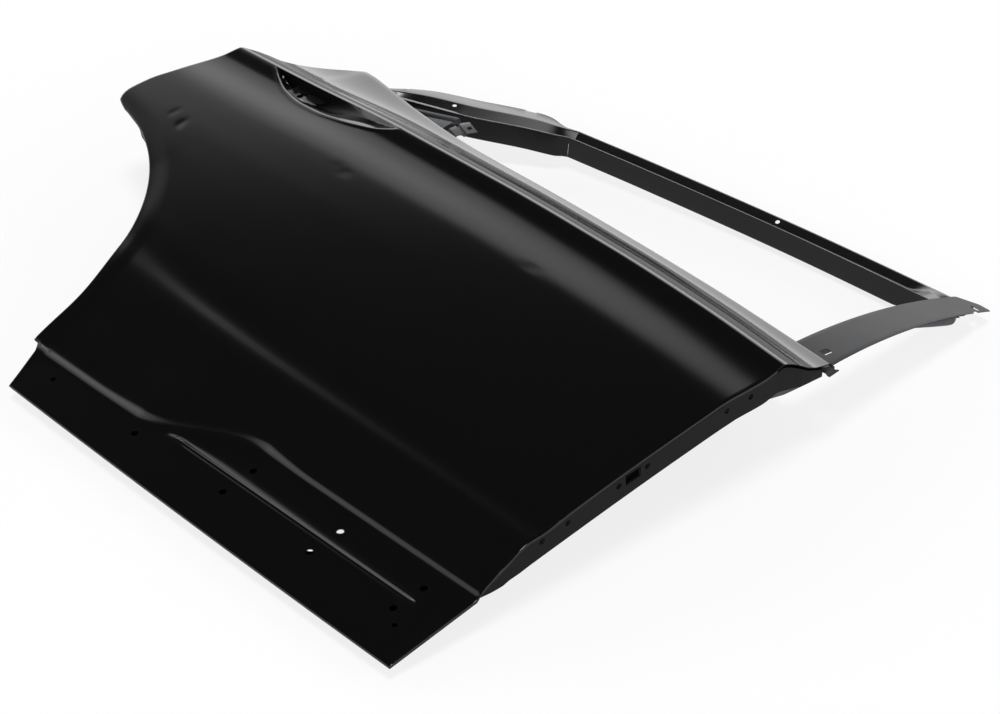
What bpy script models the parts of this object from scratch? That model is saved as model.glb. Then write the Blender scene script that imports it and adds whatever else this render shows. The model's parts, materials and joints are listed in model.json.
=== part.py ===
"""Rear right-hand door shell of a passenger car: pressed skin, inner panel, window frame and stiffeners.

It is modelled as it lies, outer side up. In the door's own axes X points to the front of the car,
Y to its roof and Z out of the car. The front edge of the skin is at X = 0 and its bottom edge at Y = 0.
"""

import math

import bmesh
import bpy
from mathutils import Vector
from mathutils.bvhtree import BVHTree

MM = 0.001

# Sheets and clearances
SKIN_SHEET = 0.9 * MM
PANEL_SHEET = 0.9 * MM
FRAME_SHEET = 1.0 * MM
PLATE_SHEET = 1.0 * MM
BELT_SHEET = 1.2 * MM
REINFORCEMENT_SHEET = 2.0 * MM
BRACKET_SHEET = 1.5 * MM
CLEARANCE = 0.3 * MM
HEM_CLEARANCE = 0.5 * MM
HEM_RETURN = 9 * MM
HEM_ROW = 11 * MM

# Outline of the skin
BOTTOM_REAR = (-794 * MM, 10 * MM)
ARCH_FOOT = (-829 * MM, 86 * MM)
ARCH_CENTRE = (-1222 * MM, 60 * MM)
ARCH_RADII = (385 * MM, 433 * MM)
ARCH_TOP = 487 * MM
REAR_EDGE = ((500, -1184), (525, -1195), (560, -1190), (600, -1179), (650, -1170))
CREST_REAR = (-1158 * MM, 709 * MM)
BELT_REAR = (-1029 * MM, 852 * MM)
BELT_LINE = ((-1041, 838), (-1026, 845), (-1008, 844), (-982, 840), (-888, 824), (-729, 808), (-554, 804),
             (-260, 790), (0, 767))
CREST_LINE = ((-1158, 709), (-1000, 713), (-800, 721), (-600, 721), (-361, 714), (-177, 701), (0, 681))

# Section of the skin, bottom to belt
ZONE_SLOPE = 0.07
FOOT_FRONT = 141 * MM
FOOT_REAR = 76 * MM
WAVE_FRONT = -410 * MM
WAVE_REAR = -600 * MM
STEP_RISE_FRONT = 7 * MM
STEP_RISE_WAVE = 15 * MM
STEP_RISE_REAR = 9 * MM
STEP_RUN = 0.85
FOOT_BEND = 14 * MM
BELOW_BOTTOM = 20 * MM
CREST_HEIGHT = 52.5 * MM
CREASE = 207 * MM
CREASE_DROP = 11.5 * MM
CROWN_DROP = ((238, 8), (300, 5), (383, 1.5), (466, -1), (549, -2.5))
CROWN_PEAK = (89 * MM, 3 * MM)
VALLEY = (25 * MM, 2.5 * MM)
SHOULDER_DROP = ((12, 5.5), (28, 16.5), (46, 31))
SHOULDER_WIDTH = 60 * MM
BELT_HEIGHT_FRONT = 5 * MM
BELT_HEIGHT_REAR = -5 * MM
BELT_FLANGE = 12 * MM

# Rib and clip holes of the lower zone
RIB_HEIGHT = 88 * MM
RIB_HALF_WIDTH = 6 * MM
RIB_PROUD = 2.6 * MM
RIB_ENDS = (-548 * MM, -52 * MM)
RIB_TAPER = 30 * MM
RIB_ROOM = 20 * MM
CLIP_HOLE = 10 * MM
CLIP_HOLES = ((-578, 60), (-396, 114), (-397, 64), (-222, 113), (-225, 65), (-66, 114), (-70, 68))
SMALL_HOLE = 7 * MM
SMALL_HOLES = ((-755, 56), (-47, 50))

# Handle scoop, under the crest
SCOOP_ARC = ((-1072, 0), (-1053, 15), (-1009, 36), (-966, 45), (-932, 46), (-887, 40), (-848, 30),
             (-830, 24), (-812, 13), (-802, 0))
SCOOP_DEPTH = 28 * MM
SCOOP_WALL = 0.14
SCOOP_CUT = (-1042 * MM, -976 * MM)
SCOOP_CUT_BAND = (0.24, 0.72)
ROW_BAND = 30 * MM

# Inner panel
FLANGE = 13 * MM
WALL_FOOT = 17 * MM
SHUT_DEPTH = ((0, 9), (130, 15), (146, 21), (179, 42), (201, 51), (238, 54), (680, 54), (767, 30), (860, 30))
CHAMFER_SLOPE = 1.04
CHAMFER_BOTTOM = 10 * MM
CHAMFER_REAR = 14 * MM
LOWER_FLOOR = -14 * MM
LOWER_FLOOR_TOP = 140 * MM
MAIN_FLOOR_FOOT = 172 * MM
MAIN_FLOOR = -38 * MM
MAIN_FLOOR_SLOPE = -0.017
PANEL_TOP_INSET = 2 * MM
PANEL_EDGE_REAR = 15 * MM
PANEL_TOP_FLANGE = 8 * MM
MODULE_OPENING = (-790 * MM, -330 * MM, 330 * MM, 640 * MM)
REAR_OPENING = (-1010 * MM, -860 * MM, 560 * MM, 700 * MM)
SPEAKER_CENTRE = (-205 * MM, 305 * MM)
SPEAKER_RADIUS = 80 * MM
CORNER_RADIUS = 36 * MM
TRIM_HOLE = 9 * MM
DRAIN_HOLE = 13 * MM
DRAIN_HOLES = ((-245, 130), (-247, 83))
TRIM_HOLES = ((-120, 500), (-120, 640), (-200, 690), (-450, 700), (-700, 710), (-830, 520), (-700, 250),
              (-420, 250))

# Window frame, on a surface that leans inboard
FRAME_START = 772 * MM
FRAME_LEAN = 0.18
FRAME_CURVE = 0.49
FRAME_TAPER = 0.015
LIP_LINE = ((-742, 996), (-611, 1015), (-283, 1050), (-45, 1061))
REAR_LEG = ((-742, 996, 40, 4), (-760, 981, 46, 20), (-791, 961, 51, 38), (-868, 905, 47, 35),
            (-930, 876, 41, 30), (-980, 856, 26, 20), (-1004, 849, 12, 12))
FRAME_DROP = 1.3 * MM
REVEAL_DEPTH = 34 * MM
REVEAL_LEAN = (9 * MM, 1 * MM)
RETURN_FLANGE = 18 * MM
LIP_WIDTH = 3 * MM
CHANNEL_DEPTH = 9 * MM
HEADER_CHANNEL = (40 * MM, 51 * MM)
HEADER_FLANGE = 4 * MM
CHANNEL_HOLE = 7 * MM
LEG_HOLE = (-916 * MM, 920 * MM)
HEADER_HOLE = (-389 * MM, 1076 * MM)

# Plate on the front pillar of the window
PLATE_FOOT = 738 * MM
PLATE_KNEE = (0.6 * MM, 4.6 * MM)
PLATE_KNEE_DROP = 20 * MM
PLATE_FOOT_FRONT = -26 * MM
PLATE_TOP = LIP_LINE[-1][1] * MM + HEADER_CHANNEL[1] + 2 * MM
PLATE_TIP = (-27 * MM, PLATE_TOP + 13 * MM)
PLATE_TOP_CORNER = (-46 * MM, PLATE_TOP + 15 * MM)
PLATE_REAR = -75 * MM
PLATE_REAR_LEAN = 0.03
PLATE_FRONT_LEAN = 0.085
PLATE_HOLE = (-31 * MM, 791 * MM)
PLATE_HOLE_SIDE = 12 * MM
PLATE_SLOT = (-41 * MM, PLATE_TOP - 8 * MM)
PLATE_SLOT_SIZE = (15 * MM, 6 * MM)

PILLAR_GUSSET = ((-54.6, 956), (-30, 965), (-20, 1026), (-30, 1040), (-54.6, 1034))
GUSSET_DROP = 9 * MM

# Glass runs
RUN_WIDTH = 22 * MM
RUN_DEPTH = 24 * MM
FRONT_RUN = (-77 * MM, 520 * MM, 1034 * MM)
REAR_RUN = (-872 * MM, 520 * MM, 745 * MM)
REAR_RUN_DROP = 13.7 * MM
RUN_SINK = 1.35

# Belt stiffeners
BELT_SECTION_OUTER = ((-3.2, -3), (-3.2, -15), (-13, -19), (-28, -12), (-42, -16), (-54, -9))
BELT_SECTION_INNER = ((-58, 0), (-48, 0), (-42, 13), (-20, 13), (-14, 0), (-5, 0))
BELT_OUTER_ENDS = (-930 * MM, -96 * MM)
BELT_INNER_ENDS = (-960 * MM, -110 * MM)

# Side impact beam
BEAM_RADIUS = 15 * MM
BEAM_BORE = 13 * MM
BEAM_FRONT = (-70 * MM, 500 * MM)
BEAM_REAR = (-930 * MM, 440 * MM)
BEAM_DEPTH = 21 * MM
SADDLE_REACH = (44 * MM, -16 * MM)
SADDLE_LAP = 42 * MM
SADDLE_FLANGE = 13 * MM

# Hinge, check strap and latch fixings
HINGE_LEVELS = (285 * MM, 610 * MM)
HINGE_BOLT_PITCH = 44 * MM
HINGE_PLATE = (80 * MM, 34 * MM)
CHECK_LEVEL = 420 * MM
CHECK_PLATE = (70 * MM, 34 * MM)
CHECK_SLOT = (26 * MM, 16 * MM)
CHECK_BOLT_PITCH = 50 * MM
BOLT_HOLE = 9 * MM
NUT_RADIUS = 8 * MM
NUT_LENGTH = 8 * MM
NUT_BORE = 3.4 * MM
NUT_STANDOFF = 0.7 * MM
LATCH_LEVEL = 600 * MM
LATCH_PLATE = (96 * MM, 38 * MM)
LATCH_SLOT = (44 * MM, 15 * MM)
LATCH_SCREW_PITCH = 68 * MM
LATCH_SCREW_HOLE = 6 * MM
HINGE_REACH = 14 * MM
LATCH_REACH = 16 * MM

# Handle stiffener, seen through the opening of the scoop
HANDLE_PLATE = ((-1092, 676), (-1078, 734), (-960, 748), (-836, 748), (-820, 690), (-880, 652), (-1000, 648))
HANDLE_PLATE_DEPTH = 30 * MM

# Brackets at the rear corner of the window and the tab at its front corner
CORNER_BRACKET = ((-958, 846), (-894, 876), (-846, 887), (-812, 868), (-868, 800), (-948, 800))
CORNER_BRACKET_HEIGHT = -24.8 * MM
CORNER_RIDGE = 5 * MM
CORNER_RIDGE_PITCH = 48 * MM
CORNER_TAB = ((-850, 836), (-816, 831), (-794, 858), (-808, 873))
CORNER_TAB_HEIGHT = -17.9 * MM
CORNER_TAB_HOLE = (-818 * MM, 853 * MM)
CORNER_TAB_HOLE_SIDE = 9 * MM
BELT_TAB = ((-12.8, 748), (3, 748), (3, 741), (9, 741), (9, 775), (3, 775), (3, 762), (-12.8, 762))
BELT_TAB_HEIGHT = -4 * MM

# Flutter pads between the beam and the skin
PAD_STATIONS = (0.14, 0.38, 0.62, 0.86)
PAD_SIZE = (34 * MM, 18 * MM)
PAD_GAP = 0.5 * MM

COLUMNS = 34
END_COLUMN = 0.009
ARCH_ROWS = 12
ARC_STEPS = 5
ROUND_STEPS = 16


class Curve:
    """A smooth curve through knots, in millimetres, that never swings past them."""

    def __init__(self, knots, unit=MM):
        knots = sorted(knots)
        self.x = [a * unit for a, _ in knots]
        self.y = [b * unit for _, b in knots]
        steps = [b - a for a, b in zip(self.x, self.x[1:])]
        rises = [(d - c) / h for c, d, h in zip(self.y, self.y[1:], steps)]
        self.slope = [rises[0]]
        for i in range(1, len(rises)):
            if rises[i - 1] * rises[i] <= 0:
                self.slope.append(0.0)
                continue
            before = 2 * steps[i] + steps[i - 1]
            after = steps[i] + 2 * steps[i - 1]
            self.slope.append((before + after) / (before / rises[i - 1] + after / rises[i]))
        self.slope.append(rises[-1])

    def __call__(self, value):
        x = min(max(value, self.x[0]), self.x[-1])
        i = 0
        while i < len(self.x) - 2 and x > self.x[i + 1]:
            i += 1
        h = self.x[i + 1] - self.x[i]
        t = (x - self.x[i]) / h
        return (
            self.y[i] * (1 + 2 * t) * (1 - t) ** 2
            + h * self.slope[i] * t * (1 - t) ** 2
            + self.y[i + 1] * t * t * (3 - 2 * t)
            + h * self.slope[i + 1] * t * t * (t - 1)
        )


def mix(a, b, t):
    return a + (b - a) * t


def ease(low, high, value):
    """Zero below low, one above high, and smooth between them."""
    t = min(max((value - low) / (high - low), 0.0), 1.0)
    return t * t * (3 - 2 * t)


# Objects and operations

def clear_scene():
    for obj in list(bpy.data.objects):
        bpy.data.objects.remove(obj, do_unlink=True)


def paint(name, colour, roughness, metallic=0.0):
    material = bpy.data.materials.new(name)
    material.use_nodes = True
    shader = material.node_tree.nodes["Principled BSDF"]
    shader.inputs["Base Color"].default_value = (*colour, 1.0)
    shader.inputs["Roughness"].default_value = roughness
    shader.inputs["Metallic"].default_value = metallic
    return material


def add_object(name, mesh, material):
    obj = bpy.data.objects.new(name, mesh)
    bpy.context.scene.collection.objects.link(obj)
    mesh.materials.append(material)
    return obj


def mesh_of(bm, name):
    mesh = bpy.data.meshes.new(name)
    bm.to_mesh(mesh)
    bm.free()
    return mesh


def solidify(obj, thickness):
    """Gives a sheet its thickness on the side away from its normals."""
    modifier = obj.modifiers.new("sheet", "SOLIDIFY")
    modifier.thickness = thickness
    modifier.offset = -1.0
    modifier.use_even_offset = True
    modifier.thickness_clamp = 0.0


def shade(obj, angle=35.0):
    obj.data.shade_smooth()
    obj.data.set_sharp_from_angle(angle=math.radians(angle))


def sheet(name, rows, thickness, material, side=(0, 0, 1)):
    """A sheet through rows of points, its modelled face towards side."""
    bm = bmesh.new()
    grid = [[bm.verts.new(p) for p in row] for row in rows]
    for low, high in zip(grid, grid[1:]):
        for a, b, c, d in zip(low, low[1:], high[1:], high):
            bm.faces.new((a, b, c, d))
    turn_towards(bm, side)
    obj = add_object(name, mesh_of(bm, name), material)
    solidify(obj, thickness)
    shade(obj)
    return obj


def turn_towards(bm, side):
    bm.normal_update()
    total = sum((f.normal * f.calc_area() for f in bm.faces), Vector())
    if total.dot(Vector(side)) < 0:
        bmesh.ops.reverse_faces(bm, faces=bm.faces)


def slab(name, loop, thickness, material, direction=(0, 0, -1)):
    """A flat plate: a closed loop of points, pushed along direction."""
    bm = bmesh.new()
    face = bm.faces.new([bm.verts.new(p) for p in loop])
    pushed = bmesh.ops.extrude_face_region(bm, geom=[face])
    moved = [v for v in pushed["geom"] if isinstance(v, bmesh.types.BMVert)]
    bmesh.ops.translate(bm, verts=moved, vec=Vector(direction) * thickness)
    bmesh.ops.recalc_face_normals(bm, faces=bm.faces)
    return add_object(name, mesh_of(bm, name), material)


def tool(obj):
    """Marks an object as a cutter or as stock for a join."""
    obj.hide_render = True
    obj.display_type = "WIRE"
    return obj


def boolean(obj, other, operation):
    modifier = obj.modifiers.new(operation.lower(), "BOOLEAN")
    modifier.operation = operation
    modifier.object = tool(other)
    modifier.solver = "EXACT"


def round_loop(centre, radius, steps=ROUND_STEPS):
    points = []
    for k in range(steps):
        angle = 2 * math.pi * k / steps
        points.append((centre[0] + radius * math.cos(angle), centre[1] + radius * math.sin(angle)))
    return points


def box_loop(low_x, high_x, low_y, high_y, radius):
    """A rectangle with round corners, in the plan of the door."""
    points = []
    corners = ((high_x, high_y, 0), (low_x, high_y, 90), (low_x, low_y, 180), (high_x, low_y, 270))
    for x, y, start in corners:
        cx = x - math.copysign(radius, x - (low_x + high_x) / 2)
        cy = y - math.copysign(radius, y - (low_y + high_y) / 2)
        for k in range(ARC_STEPS):
            angle = math.radians(start + 90 * k / (ARC_STEPS - 1))
            points.append((cx + radius * math.cos(angle), cy + radius * math.sin(angle)))
    return points


def punch(obj, loop, low, high, name):
    """Cuts a plan outline through a sheet, between two heights."""
    cutter = slab(name, [(x, y, high) for x, y in loop], high - low, obj.data.materials[0])
    boolean(obj, cutter, "DIFFERENCE")


def punch_along_x(obj, centre, radius, reach, name):
    """Cuts a round hole along X through an upright wall."""
    x, y, z = centre
    loop = [(x - reach, y + a, z + b) for a, b in round_loop((0, 0), radius, 12)]
    cutter = slab(name, loop, 2 * reach, obj.data.materials[0], (1, 0, 0))
    boolean(obj, cutter, "DIFFERENCE")


def punch_box(obj, low, high, name):
    top = high[2]
    loop = [(low[0], low[1], top), (high[0], low[1], top), (high[0], high[1], top), (low[0], high[1], top)]
    boolean(obj, slab(name, loop, top - low[2], obj.data.materials[0]), "DIFFERENCE")


# The pressed surface of the skin

belt_line = Curve(BELT_LINE)
crest_line = Curve(CREST_LINE)
scoop_arc = Curve(SCOOP_ARC)
shut_depth = Curve(SHUT_DEPTH)
rear_edge = Curve([(ARCH_TOP / MM, arch / MM) for arch in [
    ARCH_CENTRE[0] + ARCH_RADII[0] * math.sqrt(1 - ((ARCH_TOP - ARCH_CENTRE[1]) / ARCH_RADII[1]) ** 2)]]
    + list(REAR_EDGE) + [(CREST_REAR[1] / MM, CREST_REAR[0] / MM)])


def bottom_line(x):
    return BOTTOM_REAR[1] * (x / BOTTOM_REAR[0]) ** 2


def foot_line(x):
    """The foot of the step that borders the lower zone, with its wave."""
    return mix(FOOT_REAR, FOOT_FRONT, ease(WAVE_REAR, WAVE_FRONT, x))


def step_rise(x):
    middle = (WAVE_REAR + WAVE_FRONT) / 2
    reach = WAVE_FRONT - WAVE_REAR
    if x > middle:
        return mix(STEP_RISE_WAVE, STEP_RISE_FRONT, ease(middle, middle + reach, x))
    return mix(STEP_RISE_REAR, STEP_RISE_WAVE, ease(middle - reach, middle, x))


def top_line(x):
    return foot_line(x) + STEP_RUN * step_rise(x)


def rear_x(y):
    """The rear outline of the skin, with the wheel arch, as a function of height."""
    if y <= ARCH_FOOT[1]:
        t = (y - BOTTOM_REAR[1]) / (ARCH_FOOT[1] - BOTTOM_REAR[1])
        return mix(BOTTOM_REAR[0], ARCH_FOOT[0], t)
    if y <= ARCH_TOP:
        share = (y - ARCH_CENTRE[1]) / ARCH_RADII[1]
        arch = ARCH_CENTRE[0] + ARCH_RADII[0] * math.sqrt(1 - share * share)
        return min(arch, ARCH_FOOT[0])
    if y <= CREST_REAR[1]:
        return rear_edge(y)
    t = (y - CREST_REAR[1]) / (BELT_REAR[1] - CREST_REAR[1])
    return mix(CREST_REAR[0], BELT_REAR[0], t)


def band(x):
    """Width of the strip of rows under the crest, wide enough for the scoop."""
    return max(scoop_arc(x), ROW_BAND)


def scoop(x, y):
    """How far the handle scoop sinks below the skin."""
    width = scoop_arc(x)
    below = crest_line(x) - y
    if width < 1 * MM or below <= 0 or below >= width:
        return 0.0
    share = below / width
    depth = SCOOP_DEPTH * min(1.0, width / (30 * MM))
    if share < SCOOP_WALL:
        return depth * share / SCOOP_WALL
    fall = (1 - share) / (1 - SCOOP_WALL)
    return depth * (0.35 * fall + 0.65 * fall * fall * (3 - 2 * fall))


def rib(x, y):
    rear, front = RIB_ENDS
    ends = ease(rear, rear + RIB_TAPER, x) * (1 - ease(front - RIB_TAPER / 4, front, x))
    return RIB_PROUD * ends * max(0.0, 1 - abs(y - RIB_HEIGHT) / RIB_HALF_WIDTH)


def section(x):
    """The skin's section at x, as a curve of height over the way up the door."""
    foot = foot_line(x)
    top = top_line(x)
    crest = crest_line(x)
    belt = max(belt_line(x), crest + SHOULDER_WIDTH)
    foot_height = ZONE_SLOPE * foot
    top_height = foot_height + step_rise(x)
    belt_height = mix(BELT_HEIGHT_REAR, BELT_HEIGHT_FRONT, 1 - x / BELT_REAR[0])
    crease_height = CREST_HEIGHT - CREASE_DROP
    ledge = ledge_line(x)
    ledge_height = CREST_HEIGHT - SHOULDER_DROP[-1][1] * MM
    knots = [(-BELOW_BOTTOM, -BELOW_BOTTOM * ZONE_SLOPE)]
    knots += [(foot - FOOT_BEND, foot_height - FOOT_BEND * ZONE_SLOPE), (foot, foot_height)]
    knots += [(top, top_height), (mix(top, CREASE, 0.5), mix(top_height, crease_height, 0.53))]
    knots += [(CREASE, crease_height)]
    knots += [(a * MM, CREST_HEIGHT - b * MM) for a, b in CROWN_DROP]
    knots += [(crest - CROWN_PEAK[0], CREST_HEIGHT + CROWN_PEAK[1])]
    knots += [(crest - VALLEY[0], CREST_HEIGHT - VALLEY[1]), (crest, CREST_HEIGHT)]
    knots += [(crest + a * MM, CREST_HEIGHT - b * MM) for a, b in SHOULDER_DROP]
    knots += [(mix(ledge, belt, 0.45), mix(ledge_height, belt_height, 0.58)), (belt, belt_height)]
    return Curve(knots, 1.0)


def skin_height(x, y):
    return section(x)(y) + rib(x, y) - scoop(x, y)


def rear_fractions(low, high, count):
    """Heights between low and high at even steps along the rear outline."""
    samples = [mix(low, high, k / 400) for k in range(401)]
    run = [0.0]
    for a, b in zip(samples, samples[1:]):
        run.append(run[-1] + math.hypot(rear_x(b) - rear_x(a), b - a))
    heights = []
    k = 0
    for step in range(count + 1):
        goal = run[-1] * step / count
        while k < 399 and run[k + 1] < goal:
            k += 1
        heights.append(mix(samples[k], samples[k + 1], (goal - run[k]) / (run[k + 1] - run[k])))
    return heights


def rear_end(line):
    """Where a line across the door meets the rear outline."""
    x = BOTTOM_REAR[0]
    for _ in range(60):
        x = mix(x, rear_x(line(x)), 0.5)
    return x


def patch(low, high, shares, columns):
    """Rows between two lines across the door, bent to end evenly on the rear outline."""
    x_low = rear_end(low)
    x_high = rear_end(high)
    heights = rear_fractions(low(x_low), high(x_high), 40)
    rows = []
    for share in shares:
        place = share * 40
        k = min(int(place), 39)
        rear_y = mix(heights[k], heights[k + 1], place - k)
        rear = (rear_x(rear_y), rear_y)
        row = []
        for s in columns:
            a = (x_low * (1 - s), low(x_low * (1 - s)))
            b = (x_high * (1 - s), high(x_high * (1 - s)))
            plain_rear = (mix(x_low, x_high, share), mix(low(x_low), high(x_high), share))
            pull = (1 - s) ** 2
            x = mix(a[0], b[0], share) + pull * (rear[0] - plain_rear[0])
            y = mix(a[1], b[1], share) + pull * (rear[1] - plain_rear[1])
            row.append((x, y))
        rows.append(row)
    return rows


def line_row(line, columns):
    """One row along a line across the door."""
    x = rear_end(line)
    return [[(x * (1 - s), line(x * (1 - s))) for s in columns]]


def zone_line(height):
    """A line across the lower zone that bends down with the step's wave."""
    room = RIB_HEIGHT + RIB_ROOM
    return lambda x: height * min(1.0, foot_line(x) / room) + bottom_line(x) * (1 - height / FOOT_REAR)


def crest_offset(share):
    return lambda x: crest_line(x) - share * band(x)


def ledge_line(x):
    return crest_line(x) + SHOULDER_DROP[-1][0] * MM


def skin_rows():
    """Plan positions of the skin's rows, bottom to belt."""
    columns = [0.0]
    for k in range(COLUMNS):
        columns.append(columns[-1] + (0.6 if k < COLUMNS * 0.5 else 1.4))
    columns = [c / columns[-1] for c in columns]
    columns = [0.0, END_COLUMN] + columns[1:-1] + [1 - END_COLUMN, 1.0]
    rib_foot = zone_line(RIB_HEIGHT - RIB_HALF_WIDTH)
    rib_top = zone_line(RIB_HEIGHT + RIB_HALF_WIDTH)
    zone = [bottom_line, zone_line(HEM_ROW), lambda x: mix(bottom_line(x), rib_foot(x), 0.42),
            lambda x: mix(bottom_line(x), rib_foot(x), 0.75), rib_foot, zone_line(RIB_HEIGHT), rib_top,
            lambda x: mix(rib_top(x), foot_line(x), 0.6), foot_line]
    rows = []
    for line in zone:
        rows += line_row(line, columns)
    rows += patch(foot_line, top_line, (0.5, 1.0), columns)
    rows += patch(top_line, lambda x: CREASE, (0.33, 0.66, 1.0), columns)
    arch_shares = [(k + 1) / ARCH_ROWS for k in range(ARCH_ROWS)]
    rows += patch(lambda x: CREASE, crest_offset(1.3), arch_shares, columns)
    for share in (1.0, 0.78, 0.52, 0.28, SCOOP_WALL, 0.0):
        line = crest_offset(share)
        rows += line_row(line, columns)
    for offset, _ in SHOULDER_DROP:
        line = (lambda reach: lambda x: crest_line(x) + reach * MM)(offset)
        rows += line_row(line, columns)
    rows += patch(ledge_line, belt_line, (0.45, 1.0), columns)
    return rows


def inward_normals(chain):
    """Unit vectors in plan that point into the door from each point of its outline."""
    normals = []
    for k, point in enumerate(chain):
        before = chain[max(k - 1, 0)]
        after = chain[min(k + 1, len(chain) - 1)]
        a = Vector((point[0] - before[0], point[1] - before[1]))
        b = Vector((after[0] - point[0], after[1] - point[1]))
        a = a.normalized() if a.length > 0 else b.normalized()
        b = b.normalized() if b.length > 0 else a
        way = (a + b).normalized()
        spread = max(0.62, math.sqrt(max(0.0, (1 + a.dot(b)) / 2)))
        normals.append(Vector((way.y, -way.x)) / spread)
    return normals


def halved(chain):
    """A chain with a point added in the middle of each of its steps."""
    points = []
    for a, b in zip(chain, chain[1:]):
        points += [a, (mix(a[0], b[0], 0.5), mix(a[1], b[1], 0.5))]
    return points + [chain[-1]]


def outline_chain(rows):
    """The skin's outline: down its front, back along its bottom and up its rear."""
    front = halved([row[-1] for row in reversed(rows)])
    bottom = list(reversed(rows[0]))[1:-1]
    rear = halved([row[0] for row in rows])
    return front + bottom + rear, len(front), len(bottom)


def make_skin(rows, material):
    """The skin with its hemmed edges and the turned-down flange along the belt."""
    bm = bmesh.new()
    grid = [[bm.verts.new((x, y, skin_height(x, y))) for x, y in row] for row in rows]
    for low, high in zip(grid, grid[1:]):
        for a, b, c, d in zip(low, low[1:], high[1:], high):
            bm.faces.new((a, b, c, d))
    bm.faces.ensure_lookup_table()
    tree = BVHTree.FromBMesh(bm)
    front = [row[-1] for row in reversed(grid)]
    bottom = list(reversed(grid[0]))
    rear = [row[0] for row in grid]
    hem = 2 * SKIN_SHEET + PANEL_SHEET + 2 * HEM_CLEARANCE
    for edge, ends in ((front, (7, 1)), (bottom, (1, 1)), (rear, (1, 3))):
        chain = [(v.co.x, v.co.y) for v in edge]
        normals = inward_normals(chain)
        picked = range(ends[0], len(edge) - ends[1])
        turned = []
        returned = []
        for k in picked:
            x, y = chain[k]
            way = normals[k]
            turned.append(bm.verts.new((x, y, under(tree, x + way.x * MM, y + way.y * MM, hem))))
            x += way.x * HEM_RETURN
            y += way.y * HEM_RETURN
            returned.append(bm.verts.new((x, y, under(tree, x, y, hem))))
        for chain_a, chain_b in (([edge[k] for k in picked], turned), (turned, returned)):
            for a, b, c, d in zip(chain_a, chain_a[1:], chain_b[1:], chain_b):
                bm.faces.new((a, b, c, d))
    belt = grid[-1][1:-1]
    lowered = [bm.verts.new(v.co + Vector((0, 0.3 * MM, -BELT_FLANGE))) for v in belt]
    for a, b, c, d in zip(belt, belt[1:], lowered[1:], lowered):
        bm.faces.new((a, b, c, d))
    bmesh.ops.recalc_face_normals(bm, faces=bm.faces)
    turn_towards(bm, (0, 0, 1))
    skin = add_object("outer_skin", mesh_of(bm, "outer_skin"), material)
    solidify(skin, SKIN_SHEET)
    shade(skin, 28)
    for size, places in ((CLIP_HOLE, CLIP_HOLES), (SMALL_HOLE, SMALL_HOLES)):
        for k, (x, y) in enumerate(places):
            height = skin_height(x * MM, y * MM)
            loop = round_loop((x * MM, y * MM), size / 2, 12)
            punch(skin, loop, height - 8 * MM, height + 8 * MM, f"clip_cutter_{size / MM:.0f}_{k}")
    band_low, band_high = SCOOP_CUT_BAND
    rim = [(x, crest_line(x) - band_high * scoop_arc(x)) for x in scoop_stations()]
    rim += [(x, crest_line(x) - band_low * scoop_arc(x)) for x in reversed(scoop_stations())]
    punch(skin, rim, CREST_HEIGHT - 2 * SCOOP_DEPTH, CREST_HEIGHT + SCOOP_DEPTH, "scoop_cutter")
    return skin, tree


def scoop_stations():
    return [mix(SCOOP_CUT[0], SCOOP_CUT[1], k / 4) for k in range(5)]


def height_on(tree, x, y):
    """The height of the skin's outer face over a place in plan."""
    return under(tree, x, y, 0.0, 0.0)


def under(tree, x, y, depth, reach=2 * MM):
    """The height that keeps a sheet at least depth below the skin, measured along the skin's normal."""
    lowest = []
    for step in (-reach, 0.0, reach):
        hit, normal = tree.ray_cast(Vector((x, y + step, 0.5)), Vector((0, 0, -1)))[:2]
        if hit is None:
            hit, normal = tree.find_nearest(Vector((x, y + step, skin_height(x, y + step))))[:2]
        lowest.append(hit.z - depth / max(abs(normal.z), 0.3))
    return min(lowest)


# The inner panel

def floor_height(y):
    if y < LOWER_FLOOR_TOP:
        return LOWER_FLOOR
    main = MAIN_FLOOR + MAIN_FLOOR_SLOPE * (max(y, MAIN_FLOOR_FOOT) - MAIN_FLOOR_FOOT)
    if y >= MAIN_FLOOR_FOOT:
        return main
    return mix(LOWER_FLOOR, MAIN_FLOOR, (y - LOWER_FLOOR_TOP) / (MAIN_FLOOR_FOOT - LOWER_FLOOR_TOP))


def panel_rings(rows, tree):
    """The four chains that run round the inner panel: flange, wall and chamfer."""
    chain, fronts, bottoms = outline_chain(rows)
    normals = inward_normals(chain)
    drop = SKIN_SHEET + HEM_CLEARANCE
    rings = [[], [], [], []]
    for k, (point, normal) in enumerate(zip(chain, normals)):
        def at(distance):
            return point[0] + normal.x * distance, point[1] + normal.y * distance

        for ring, distance in ((0, SKIN_SHEET + HEM_CLEARANCE), (1, FLANGE)):
            x, y = at(distance)
            rings[ring].append((x, y, under(tree, x, y, drop)))
        x, y = at(WALL_FOOT)
        foot = height_on(tree, x, y) - shut_depth(y)
        rings[2].append((x, y, foot))
        if k < fronts:
            width = CHAMFER_SLOPE * max(foot - floor_height(y), 4 * MM)
        elif k < fronts + bottoms:
            width = CHAMFER_BOTTOM
        else:
            width = CHAMFER_REAR
        x, y = at(WALL_FOOT + width)
        rings[3].append((x, y, floor_height(y)))
    return [rings[0]] + [unfold(ring, chain) for ring in rings[1:]]


def outline_distance(point, chain):
    nearest = 1.0
    for a, b in zip(chain, chain[1:]):
        way = Vector(b) - Vector(a)
        t = min(max((Vector(point[:2]) - Vector(a)).dot(way) / way.length_squared, 0.0), 1.0)
        nearest = min(nearest, (Vector(point[:2]) - Vector(a) - way * t).length)
    return nearest


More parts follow.
